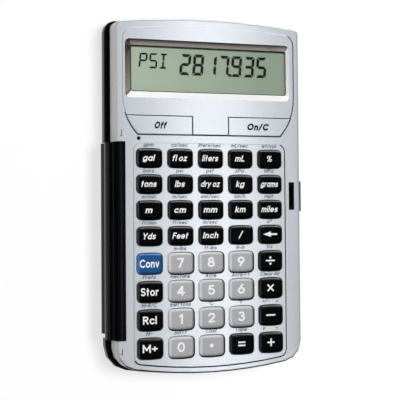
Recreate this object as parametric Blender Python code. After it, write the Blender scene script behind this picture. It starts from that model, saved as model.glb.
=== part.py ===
"""A handheld construction calculator with a cover that folds right round behind it, in metres with +Z up.

It lies face up on a desk and stands on the rim of its folded cover. +X is to its right and +Y is its display
end. Lengths across are measured from the middle of the case and heights from its face plane, until the last
step moves everything so that the origin lies on the desk under the middle of the whole part.
"""

import math

import bmesh
import bpy
from mathutils import Matrix, Vector

# Units and fits
MM = 0.001
FIT = 0.3 * MM  # running gap between neighbouring pieces
OVERRUN = 1.0 * MM  # how far a cutter reaches past what it cuts
DEGREE = math.pi / 180

# Case
SIDE_BARREL_INSET = 1.95 * MM  # the spine's axis inside the case's left side
CASE_TOP_BOW_RADIUS = 340.0 * MM  # radius of the slightly bowed display end
CASE_BOTTOM_BOW_RADIUS = 190.0 * MM
CASE_TOP_CORNER = 2.2 * MM
CASE_BOTTOM_CORNER = 8.5 * MM
SHELL_WALL = 1.4 * MM
POCKET_WALL = 0.8 * MM  # round the hinge's barrel
POCKET_UNDER = 1.3 * MM  # how far that wall reaches under the keypad panel
FACE_PLATE = 1.4 * MM
FACE_EDGE = 0.9 * MM  # rounding of the face's outer edge
REAR_HEIGHT = 2.0 * MM
REAR_EDGE = 1.2 * MM  # rounding of the back's outer edge
REAR_INSET = 0.3 * MM  # the rear shell is this much smaller all round

# Raised panels of the face
PANEL_RISE = 0.4 * MM
PANEL_EDGE = 0.25 * MM
PANEL_GAP = 3.3 * MM  # between the display panel and the keypad panel
DISPLAY_SIDE_INSET = 2.7 * MM
DISPLAY_TOP_INSET = 3.1 * MM
DISPLAY_CORNER = 4.5 * MM
DISPLAY_SIDE_RADIUS = 23.2 * MM  # the sides curve in round the two wide keys
DISPLAY_SIDE_RUN = 8.5 * MM  # from where they start to the wide keys' top
KEYPAD_SIDE_MARGIN = 1.325 * MM
KEYPAD_TOP_MARGIN = 2.35 * MM
KEYPAD_TOP_CORNER = 3.3 * MM
KEYPAD_BOTTOM_INSET = 2.6 * MM
KEYPAD_BOTTOM_CORNER = 3.0 * MM

# Display window
WINDOW_SIDE_INSET = 4.15 * MM
WINDOW_TOP_INSET = 9.2 * MM
WINDOW_HEIGHT = 23.2 * MM
WINDOW_CENTRE_X = -0.4 * MM
WINDOW_CORNER = 1.7 * MM
WINDOW_DEPTH = 2.0 * MM  # depth of the window's sloping walls under the face
WINDOW_LEFT_SLOPE = 2.8 * MM  # how far each wall leans in
WINDOW_RIGHT_SLOPE = 0.5 * MM
WINDOW_TOP_SLOPE = 2.1 * MM
WINDOW_BOTTOM_SLOPE = 2.7 * MM
SIGHT_CORNER = 0.8 * MM
WINDOW_FRAME = 1.5 * MM
LENS_THICKNESS = 0.6 * MM
LENS_LIP = 0.5 * MM  # how far the lens reaches under the window's frame
LCD_THICKNESS = 1.1 * MM
LCD_LIP = 0.2 * MM
ZEBRA_WIDTH = 2.4 * MM
ZEBRA_END_GAP = 5.05 * MM

# Wide keys in the display panel's lower corners
WIDE_KEY_DROP = 7.1 * MM  # from the window to their top
WIDE_KEY_HEIGHT = 7.3 * MM
WIDE_KEY_INNER = 7.7 * MM
WIDE_KEY_STEPS = 4
WIDE_KEY_RISE = 0.15 * MM
WIDE_KEY_EDGE = 0.25 * MM

# Small keys
KEY_COLUMNS = 5
KEY_CENTRE_X = -0.4 * MM
KEY_WIDTH = 10.75 * MM
KEY_UPPER_HEIGHT = 7.7 * MM
KEY_LOWER_HEIGHT = 8.5 * MM
KEY_SIDE_GAP = 2.05 * MM
KEY_ROW_GAP = 2.56 * MM
KEY_MIDDLE_GAP = 2.65 * MM  # between the upper and lower rows
KEY_BOTTOM_MARGIN = 6.74 * MM  # from the last row to the case's end
KEY_CORNER = 1.5 * MM
KEY_BULGE = 0.35 * MM  # the upper and lower edges bow out by this
KEY_RISE = 1.3 * MM  # above its panel
KEY_EDGE = 0.45 * MM
KEY_TRAVEL = 0.8 * MM
KEY_FLANGE = 0.8 * MM
KEY_FLANGE_THICKNESS = 0.6 * MM
KEY_STEM_HALF_WIDTH = 2.4 * MM
KEY_STEM_HALF_HEIGHT = 2.0 * MM
KEY_STEM_CORNER = 0.8 * MM
KEY_STEM_LENGTH = 2.2 * MM

# Keypad, board and battery
RUBBER_THICKNESS = 0.6 * MM
RUBBER_ABOVE = 2.0 * MM  # past the wide keys' top
DOME_RADIUS = 2.2 * MM
DOME_TOP_RADIUS = 1.6 * MM
DOME_SIDES = 6
BOARD_THICKNESS = 0.8 * MM
BOARD_POCKET_GAP = 0.4 * MM
BOARD_BOSS_GAP = 0.75 * MM
BOARD_BOTTOM_INSET = 5.8 * MM
BATTERY_DIAMETER = 20.0 * MM
BATTERY_THICKNESS = 1.6 * MM
BATTERY_STEP = 0.35 * MM  # the smaller negative side of the cell
CONTACT_THICKNESS = 0.2 * MM
CONTACT_WIDTH = 7.0 * MM
CONTACT_END_GAP = 1.5 * MM  # inside the cell's rim
CONTACT_FINGER = 1.6 * MM  # from the middle to each slot between its fingers
CONTACT_SLOT = 0.6 * MM

# Rear shell, its door and its screws
DOOR_SIDE = 3.2 * MM  # past the cell
DOOR_END = 1.3 * MM
DOOR_TONGUE = 1.0 * MM
DOOR_THICKNESS = 1.0 * MM
DOOR_TONGUE_THICKNESS = 0.5 * MM
DOOR_RIBS = 4
DOOR_RIB_WIDTH = 12.0 * MM
DOOR_RIB_PITCH = 1.8 * MM
DOOR_RIB_THICKNESS = 0.7 * MM
DOOR_RIB_DEPTH = 0.3 * MM
BAY_GAP = 0.5 * MM  # round the cell
BAY_LAND = 0.6 * MM  # between the cell's bay and the upper screw's cup
RAIL_WIDTH = 1.2 * MM
RAIL_X = 17.0 * MM
RAIL_END_INSET = 11.0 * MM
RAIL_DOOR_GAP = 17.5 * MM
SCREW_SIDE_INSET = 5.4 * MM
SCREW_TOP_INSET = 4.5 * MM
SCREW_HEAD_RADIUS = 1.7 * MM
SCREW_HEAD_HEIGHT = 1.1 * MM
SCREW_SHANK_RADIUS = 0.8 * MM
SCREW_REACH = 4.1 * MM  # below its head
SCREW_SLOT_WIDTH = 0.45 * MM
SCREW_SLOT_LENGTH = 2.0 * MM
SCREW_SLOT_DEPTH = 0.5 * MM
BOSS_RADIUS = 2.0 * MM
CUP_WALL = 0.6 * MM
CUP_FLOOR = 0.7 * MM
CUP_LAND = 0.6 * MM  # between a lower cup and the spine's pocket
RESET_RADIUS = 0.8 * MM
RESET_SIDE_INSET = 9.3 * MM

# Cover
COVER_SIDE_OVERHANG = 1.8 * MM
COVER_END_OVERHANG = 1.6 * MM
COVER_PLATE = 1.2 * MM
COVER_WALL = 1.2 * MM
COVER_HEIGHT_CLOSED = 4.3 * MM  # top of the shut cover above the face
COVER_EDGE = 0.6 * MM
COVER_CORNER_GROWTH = 2.4 * MM
BACK_GAP = 0.3 * MM  # between the case's back and the folded cover
HINGE_SIDE_RIM = 9.0 * MM  # width of the shallow rim along the hinge side
HOOK_LENGTH = 7.0 * MM
HOOK_THICKNESS = 0.9 * MM
HOOK_SIDE_GAP = 0.45 * MM  # to the slot's right wall
HOOK_BARB = 0.5 * MM
HOOK_BARB_HEIGHT = 0.4 * MM

# Hinge spine
CASE_BARREL_DROP = 0.35 * MM  # the barrel lies this far inside the face and the back
COVER_BARREL_RADIUS = 2.2 * MM
COVER_BARREL_INSET = 1.2 * MM  # axis inside the cover's left edge
SPINE_TOP_INSET = 50.0 * MM  # from the case's ends
SPINE_BOTTOM_INSET = 14.6 * MM
SPINE_COVER_SHORTER = 1.6 * MM  # the cover's barrel is this much shorter at its lower end
WEB_INNER = 1.3 * MM
CASE_PIN_RADIUS = 0.9 * MM
COVER_PIN_RADIUS = 0.45 * MM
PIN_SEAT = 1.1 * MM  # how far a pin reaches into its lug
CUT_INNER = 3.9 * MM  # face cut-out, from the case's left side
REAR_CUT_INNER = 6.6 * MM
COVER_CUT_INNER = 2.9 * MM
LUG_LENGTH = 3.0 * MM
LUG_WIDTH = 3.0 * MM
ARC_STEP = 12.0 * DEGREE

# Latch
SLOT_SIDE_INSET = 3.8 * MM
SLOT_WIDTH = 2.5 * MM
SLOT_LENGTH = 11.4 * MM
LATCH_END_INSET = 71.4 * MM  # from the display end
BUTTON_LENGTH = 12.6 * MM
BUTTON_DROP = 0.6 * MM  # below the shut cover's skirt
BUTTON_HEIGHT = 3.6 * MM
BUTTON_REACH = 2.0 * MM
BUTTON_FLANGE = 0.7 * MM
BUTTON_FLANGE_THICKNESS = 1.0 * MM
BUTTON_TRAVEL = 1.0 * MM
BUTTON_EDGE = 0.5 * MM
LATCH_SKIN = 0.6 * MM  # the face over the latch's frame
LATCH_THICKNESS = 0.6 * MM
LATCH_LENGTH = 10.4 * MM
LATCH_ARM = 1.2 * MM
LATCH_BAR = 1.4 * MM
LATCH_PLAY = 0.2 * MM

# Levels, heights from the face plane: the case is as deep as what it holds
PANEL_TOP = PANEL_RISE
KEY_TOP = PANEL_TOP + KEY_RISE
FLANGE_TOP = -FACE_PLATE - FIT
FLANGE_BOTTOM = FLANGE_TOP - KEY_FLANGE_THICKNESS
STEM_BOTTOM = FLANGE_BOTTOM - KEY_STEM_LENGTH
DOME_TOP = STEM_BOTTOM - FIT
RUBBER_TOP_Z = STEM_BOTTOM - KEY_TRAVEL - FIT
BOARD_TOP_Z = RUBBER_TOP_Z - RUBBER_THICKNESS - FIT
BOARD_BOTTOM_Z = BOARD_TOP_Z - BOARD_THICKNESS
LENS_TOP = -WINDOW_DEPTH - FIT
LCD_TOP = LENS_TOP - LENS_THICKNESS - FIT
ZEBRA_TOP = LCD_TOP - LCD_THICKNESS - FIT
CONTACT_TOP = BOARD_BOTTOM_Z - FIT
BATTERY_TOP = CONTACT_TOP - CONTACT_THICKNESS - FIT
BATTERY_BOTTOM = BATTERY_TOP - BATTERY_THICKNESS
DOOR_TOP = BATTERY_BOTTOM - FIT
BACK = DOOR_TOP - DOOR_THICKNESS
REAR_INSIDE = BACK + REAR_HEIGHT
SEAM = REAR_INSIDE + FIT
RECESS_TOP = DOOR_TOP + FIT
CUP_TOP = RECESS_TOP + SCREW_HEAD_HEIGHT + FIT
LATCH_TOP = -LATCH_SKIN - FIT
LATCH_BOTTOM = LATCH_TOP - LATCH_THICKNESS
COVER_OVERLAP = LATCH_PLAY + HOOK_BARB_HEIGHT + FIT - LATCH_BOTTOM  # of the shut cover down the case's sides
BUTTON_TOP = -COVER_OVERLAP - BUTTON_DROP
BUTTON_LOW = BUTTON_TOP - BUTTON_HEIGHT
COVER_TOP = BACK - BACK_GAP
COVER_INSIDE = COVER_TOP - COVER_PLATE
COVER_SHALLOW = COVER_TOP - COVER_HEIGHT_CLOSED + FIT
DESK = COVER_TOP - COVER_HEIGHT_CLOSED - COVER_OVERLAP

# Places across the case: it is as wide as its keys and the spine's pocket
CASE_AXIS_Z = BACK / 2
CASE_BARREL_RADIUS = -CASE_AXIS_Z - CASE_BARREL_DROP
POCKET_OUTSIDE = CASE_BARREL_RADIUS + FIT + POCKET_WALL
KEY_PITCH_X = KEY_WIDTH + KEY_SIDE_GAP
KEYPAD_HALF_WIDTH = KEY_PITCH_X * (KEY_COLUMNS - 1) / 2 + KEY_WIDTH / 2 + KEYPAD_SIDE_MARGIN
CASE_RIGHT = KEYPAD_HALF_WIDTH - POCKET_UNDER + POCKET_OUTSIDE + SIDE_BARREL_INSET
CASE_LEFT = -CASE_RIGHT
CASE_WIDTH = CASE_RIGHT - CASE_LEFT
CASE_AXIS_X = CASE_LEFT + SIDE_BARREL_INSET
DISPLAY_HALF_WIDTH = CASE_RIGHT - DISPLAY_SIDE_INSET
WINDOW_WIDTH = CASE_WIDTH - WINDOW_SIDE_INSET * 2
SIGHT_HALF_X = (WINDOW_WIDTH - WINDOW_LEFT_SLOPE - WINDOW_RIGHT_SLOPE) / 2
SIGHT_X = WINDOW_CENTRE_X + (WINDOW_LEFT_SLOPE - WINDOW_RIGHT_SLOPE) / 2
ZEBRA_LENGTH = WINDOW_WIDTH - ZEBRA_END_GAP * 2
RESET_X = CASE_LEFT + RESET_SIDE_INSET
SCREW_X = CASE_RIGHT - SCREW_SIDE_INSET
BOARD_LEFT = CASE_AXIS_X + POCKET_OUTSIDE + BOARD_POCKET_GAP
BOARD_RIGHT = SCREW_X - BOSS_RADIUS - BOARD_BOSS_GAP
DOOR_WIDTH = BATTERY_DIAMETER + DOOR_SIDE * 2

# The cover's axis stands off its plate as the case's does, so the shut cover lies square on the face.
COVER_LEFT = CASE_LEFT - COVER_SIDE_OVERHANG
COVER_AXIS_X = COVER_LEFT + COVER_BARREL_INSET
COVER_AXIS_Z = COVER_TOP - (COVER_HEIGHT_CLOSED - BACK_GAP) / 2

# The cover's hook and the latch's bar that its barb catches
SLOT_X = CASE_RIGHT - SLOT_SIDE_INSET
HOOK_RIGHT = SLOT_X + SLOT_WIDTH / 2 - HOOK_SIDE_GAP
HOOK_LEFT = HOOK_RIGHT - HOOK_THICKNESS
LATCH_BAR_RIGHT = HOOK_LEFT - LATCH_PLAY
LATCH_LEFT = LATCH_BAR_RIGHT - LATCH_BAR
WALL_INSIDE = CASE_RIGHT - SHELL_WALL

# Places along the case: it is as long as its display and its rows of keys
UPPER_ROWS = 4
LOWER_ROWS = 4
KEY_UPPER_PITCH = KEY_UPPER_HEIGHT + KEY_ROW_GAP
KEY_LOWER_PITCH = KEY_LOWER_HEIGHT + KEY_ROW_GAP
KEY_MIDDLE_PITCH = (KEY_UPPER_HEIGHT + KEY_LOWER_HEIGHT) / 2 + KEY_MIDDLE_GAP
UPPER_KEYS = KEY_UPPER_PITCH * UPPER_ROWS - KEY_ROW_GAP
LOWER_KEYS = KEY_LOWER_PITCH * LOWER_ROWS - KEY_ROW_GAP
DISPLAY_LENGTH = WINDOW_TOP_INSET + WINDOW_HEIGHT + WIDE_KEY_DROP + WIDE_KEY_HEIGHT
KEYS_LENGTH = KEYPAD_TOP_MARGIN + UPPER_KEYS + KEY_MIDDLE_GAP + LOWER_KEYS + KEY_BOTTOM_MARGIN
CASE_LENGTH = DISPLAY_LENGTH + PANEL_GAP + KEYS_LENGTH
CASE_END = CASE_LENGTH / 2
WINDOW_CENTRE_Y = CASE_END - WINDOW_TOP_INSET - WINDOW_HEIGHT / 2
SIGHT_HALF_Y = (WINDOW_HEIGHT - WINDOW_TOP_SLOPE - WINDOW_BOTTOM_SLOPE) / 2
SIGHT_Y = WINDOW_CENTRE_Y + (WINDOW_BOTTOM_SLOPE - WINDOW_TOP_SLOPE) / 2
DISPLAY_BOTTOM = CASE_END - DISPLAY_LENGTH
WIDE_KEY_TOP = DISPLAY_BOTTOM + WIDE_KEY_HEIGHT
DISPLAY_SIDE_START = WIDE_KEY_TOP + DISPLAY_SIDE_RUN
KEYPAD_TOP = DISPLAY_BOTTOM - PANEL_GAP
KEY_FIRST_ROW_Y = KEYPAD_TOP - KEYPAD_TOP_MARGIN - KEY_UPPER_HEIGHT / 2
RESET_Y = (DISPLAY_BOTTOM + KEYPAD_TOP) / 2
SPINE_TOP_Y = CASE_END - SPINE_TOP_INSET
SPINE_BOTTOM_Y = SPINE_BOTTOM_INSET - CASE_END
CUP_RADIUS = SCREW_HEAD_RADIUS + FIT + CUP_WALL
SCREW_TOP_Y = CASE_END - SCREW_TOP_INSET
SCREW_BOTTOM_Y = SPINE_BOTTOM_Y - FIT - SHELL_WALL - CUP_LAND - CUP_RADIUS
BATTERY_Y = SCREW_TOP_Y - CUP_RADIUS - BAY_LAND - BAY_GAP - BATTERY_DIAMETER / 2
CONTACT_LENGTH = BATTERY_DIAMETER - CONTACT_END_GAP * 2
DOOR_END_Y = BATTERY_Y - BATTERY_DIAMETER / 2 - DOOR_END
RAIL_TOP_Y = DOOR_END_Y - RAIL_DOOR_GAP
RAIL_BOTTOM_Y = RAIL_END_INSET - CASE_END
BOARD_TOP = SCREW_TOP_Y - BOSS_RADIUS - BOARD_BOSS_GAP
BOARD_BOTTOM = BOARD_BOTTOM_INSET - CASE_END
RUBBER_TOP = WIDE_KEY_TOP + RUBBER_ABOVE
LATCH_Y = CASE_END - LATCH_END_INSET

KEY_ROWS = (
    ("gallon", "fluid_ounce", "liter", "milliliter", "percent"),
    ("ton", "pound", "dry_ounce", "kilogram", "gram"),
    ("meter", "centimeter", "millimeter", "kilometer", "mile"),
    ("yard", "foot", "inch", "fraction_bar", "backspace"),
    ("convert", "digit_7", "digit_8", "digit_9", "divide"),
    ("store", "digit_4", "digit_5", "digit_6", "multiply"),
    ("recall", "digit_1", "digit_2", "digit_3", "minus"),
    ("memory_plus", "digit_0", "decimal_point", "equals", "plus"),
)
GREY_KEYS = ("decimal_point",)

# Colours: red, green, blue, roughness, metallic
SILVER = (0.62, 0.64, 0.67, 0.35, 0.6)
BLACK_PLASTIC = (0.012, 0.012, 0.014, 0.25, 0.0)
KEY_BLACK = (0.01, 0.01, 0.012, 0.3, 0.0)
KEY_GREY = (0.5, 0.5, 0.5, 0.4, 0.0)
KEY_BLUE = (0.01, 0.09, 0.32, 0.3, 0.0)
REAR_BLACK = (0.02, 0.02, 0.022, 0.5, 0.0)
GLASS = (0.36, 0.42, 0.33, 0.1, 0.0)
LENS = (0.8, 0.85, 0.82, 0.05, 0.0)
RUBBER = (0.45, 0.45, 0.43, 0.8, 0.0)
ZEBRA = (0.75, 0.5, 0.52, 0.7, 0.0)
BOARD = (0.02, 0.16, 0.05, 0.45, 0.0)
STEEL = (0.6, 0.6, 0.6, 0.3, 1.0)


# Outlines


def arc(centre, radius, start, end, step=ARC_STEP):
    """Points round a circle from one angle to another, both ends included."""
    count = max(1, round(abs(end - start) / step))
    turns = (start + (end - start) * i / count for i in range(count + 1))
    return [(centre[0] + radius * math.cos(a), centre[1] + radius * math.sin(a)) for a in turns]


def bowed_end(half_width, reach, bow_radius, corner_radius, side=1):
    """The right corner, bowed end and left corner of an outline; side -1 gives the lower end instead."""
    bow_centre = reach - bow_radius
    corner_x = half_width - corner_radius
    lean = math.acos(corner_x / (bow_radius - corner_radius))
    corner_y = bow_centre + (bow_radius - corner_radius) * math.sin(lean)
    points = arc((corner_x, corner_y), corner_radius, 0, lean, ARC_STEP * 2)
    points += arc((0, bow_centre), bow_radius, lean, math.pi - lean, (math.pi - lean * 2) / 8)[1:-1]
    points += arc((-corner_x, corner_y), corner_radius, math.pi - lean, math.pi, ARC_STEP * 2)
    return points if side > 0 else [(-x, -y) for x, y in points]


def case_outline(grow=0.0):
    """The case's outline seen from the front, grown outwards by the given distance."""
    half = CASE_WIDTH / 2 + grow
    reach = CASE_END + grow
    top = bowed_end(half, reach, CASE_TOP_BOW_RADIUS + grow, CASE_TOP_CORNER + grow)
    bottom = bowed_end(half, reach, CASE_BOTTOM_BOW_RADIUS + grow, CASE_BOTTOM_CORNER + grow, -1)
    return top + bottom


def cover_outline(grow=0.0):
    half = CASE_WIDTH / 2 + COVER_SIDE_OVERHANG + grow
    reach = CASE_END + COVER_END_OVERHANG + grow
    corner = CASE_TOP_CORNER + COVER_CORNER_GROWTH + grow
    top = bowed_end(half, reach, CASE_TOP_BOW_RADIUS + grow, corner)
    corner = CASE_BOTTOM_CORNER + COVER_END_OVERHANG + grow
    bottom = bowed_end(half, reach, CASE_BOTTOM_BOW_RADIUS + grow, corner, -1)
    return top + bottom


def display_outline(grow=0.0):
    """The display panel: parallel to the case's upper end, with sides that curve in round the wide keys."""
    half = DISPLAY_HALF_WIDTH + grow
    top = bowed_end(half, CASE_END - DISPLAY_TOP_INSET + grow, CASE_TOP_BOW_RADIUS, DISPLAY_CORNER + grow)
    radius = DISPLAY_SIDE_RADIUS + grow
    drop = math.asin((DISPLAY_SIDE_START - DISPLAY_BOTTOM + grow) / radius)
    centre = (half - radius, DISPLAY_SIDE_START)
    right = arc(centre, radius, -drop, 0, ARC_STEP / 2)
    left = [(-x, y) for x, y in reversed(right)]
    return top + left + right


def wide_key_outline(grow=0.0):
    """The right wide key: its outer side is the panel's own curved side."""
    panel = DISPLAY_SIDE_RADIUS + grow
    bottom = DISPLAY_BOTTOM - grow
    top = WIDE_KEY_TOP + grow
    centre = (DISPLAY_HALF_WIDTH - DISPLAY_SIDE_RADIUS, DISPLAY_SIDE_START)
    low = -math.asin((centre[1] - bottom) / panel)
    high = -math.asin((centre[1] - top) / panel)
    inner = WIDE_KEY_INNER - grow
    return arc(centre, panel, low, high, (high - low) / WIDE_KEY_STEPS) + [(inner, top), (inner, bottom)]


def keypad_outline(grow=0.0):
    half = KEYPAD_HALF_WIDTH + grow
    corner = KEYPAD_TOP_CORNER + grow
    x = half - corner
    y = KEYPAD_TOP + grow - corner
    quarter = math.pi / 2
    top = arc((x, y), corner, 0, quarter, ARC_STEP * 2) + arc((-x, y), corner, quarter, math.pi, ARC_STEP * 2)
    reach = CASE_END - KEYPAD_BOTTOM_INSET + grow
    return top + bowed_end(half, reach, CASE_BOTTOM_BOW_RADIUS, KEYPAD_BOTTOM_CORNER + grow, -1)


def rounded_rectangle(half_x, half_y, corner, bulge=0.0):
    """Corners in two steps each, with the middles of the upper and lower edges bowed out."""
    quarter = math.pi / 2
    points = []
    for turn, sign_x, sign_y in ((0, 1, 1), (1, -1, 1), (2, -1, -1), (3, 1, -1)):
        centre = (sign_x * (half_x - corner), sign_y * (half_y - corner))
        points += arc(centre, corner, turn * quarter, (turn + 1) * quarter, quarter / 2)
        if turn in (0, 2):
            points.append((0.0, sign_y * (half_y + bulge)))
    return points


def sight_outline(grow):
    """The lower opening of the window, where its walls end over the lens."""
    ring = rounded_rectangle(SIGHT_HALF_X + grow, SIGHT_HALF_Y + grow, SIGHT_CORNER + grow)
    return moved(ring, SIGHT_X, SIGHT_Y)


def moved(points, x, y):
    return [(px + x, py + y) for px, py in points]


def box_outline(x0, x1, y0, y1):
    return [(x0, y0), (x1, y0), (x1, y1), (x0, y1)]


# Solids


def material(name, finish):
    if name in bpy.data.materials:
        return bpy.data.materials[name]
    made = bpy.data.materials.new(name)
    made.use_nodes = True
    shader = made.node_tree.nodes["Principled BSDF"]
    shader.inputs["Base Color"].default_value = (*finish[:3], 1)
    shader.inputs["Roughness"].default_value = finish[3]
    shader.inputs["Metallic"].default_value = finish[4]
    return made


def mesh_object(name, shape, finish=None):
    """Turns a bmesh into an object; a piece without a finish is a cutter."""
    bmesh.ops.recalc_face_normals(shape, faces=shape.faces)
    mesh = bpy.data.meshes.new(name)
    shape.to_mesh(mesh)
    shape.free()
    made = bpy.data.objects.new(name, mesh)
    bpy.context.scene.collection.objects.link(made)
    if finish is None:
        made.hide_render = True
        made.display_type = "WIRE"
    else:
        mesh.materials.append(material(name + "_finish", finish))
    return made


def add_rings(shape, rings):
    """Skins a stack of rings that have the same number of points, and closes both ends."""
    rows = [[shape.verts.new(point) for point in ring] for ring in rings]
    count = len(rows[0])
    for lower, upper in zip(rows, rows[1:]):
        for i in range(count):
            j = (i + 1) % count
            shape.faces.new((lower[i], lower[j], upper[j], upper[i]))
    shape.faces.new(rows[0][::-1])
    shape.faces.new(rows[-1])


def level(outline, z):
    return [(x, y, z) for x, y in outline]


def add_prism(shape, outline, z0, z1):
    add_rings(shape, [level(outline, z0), level(outline, z1)])


def add_box(shape, x0, x1, y0, y1, z0, z1):
    add_prism(shape, box_outline(x0, x1, y0, y1), z0, z1)


def add_round(shape, centre, radius, z0, z1, sides=20):
    full = math.pi * 2
    add_prism(shape, arc(centre, radius, 0, full, full / sides)[:-1], z0, z1)


def add_along_y(shape, profile, y0, y1):
    """A profile of (x, z) points carried along Y."""
    add_rings(shape, [[(x, y, z) for x, z in profile] for y in (y0, y1)])


def circle_xz(x, z, radius, sides):
    full = math.pi * 2
    return arc((x, z), radius, 0, full, full / sides)[:-1]


def boolean(target, cutter, operation="DIFFERENCE"):
    modifier = target.modifiers.new(operation.title() + "_" + cutter.name, "BOOLEAN")
    modifier.operation = operation
    modifier.object = cutter
    modifier.solver = "EXACT"


def cut(target, name, build):
    """Cuts away what build draws."""
    shape = bmesh.new()
    build(shape)
    boolean(target, mesh_object(name, shape))


def join(target, name, build):
    """Adds what build draws."""
    shape = bmesh.new()
    build(shape)
    boolean(target, mesh_object(name, shape), "UNION")


def solid(name, build, finish):
    shape = bmesh.new()
    build(shape)
    return mesh_object(name, shape, finish)


def set_origin(made, place):
    """Puts a moving piece's origin on its joint, leaving its shape where it is."""
    made.data.transform(Matrix.Translation(-Vector(place)))
    made.location = place


def smooth(target, angle=35 * DEGREE):
    target.data.shade_smooth()
    target.data.set_sharp_from_angle(angle=angle)


# Places of the keys


def row_y(row):
    y = KEY_FIRST_ROW_Y - KEY_UPPER_PITCH * min(row, UPPER_ROWS - 1)
    if row >= UPPER_ROWS:
        y -= KEY_MIDDLE_PITCH + KEY_LOWER_PITCH * (row - UPPER_ROWS)
    return y


def small_keys():
    """Name, centre and half height of each small key."""
    for row, names in enumerate(KEY_ROWS):
        half = (KEY_UPPER_HEIGHT if row < UPPER_ROWS else KEY_LOWER_HEIGHT) / 2
        for column, name in enumerate(names):
            x = KEY_CENTRE_X + KEY_PITCH_X * (column - (KEY_COLUMNS - 1) / 2)
            yield name, (x, row_y(row)), half


def wide_key_centre(side):
    middle = (WIDE_KEY_INNER + DISPLAY_HALF_WIDTH) / 2
    return side * middle, (WIDE_KEY_TOP + DISPLAY_BOTTOM) / 2


def screw_places():
    return ((-SCREW_X, SCREW_BOTTOM_Y), (SCREW_X, SCREW_BOTTOM_Y), (0.0, SCREW_TOP_Y))


# The front shell


def panel_rings(outline):
    foot = level(outline(), -FACE_PLATE / 2)
    return [foot, level(outline(), PANEL_TOP - PANEL_EDGE), level(outline(-PANEL_EDGE), PANEL_TOP)]


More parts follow.
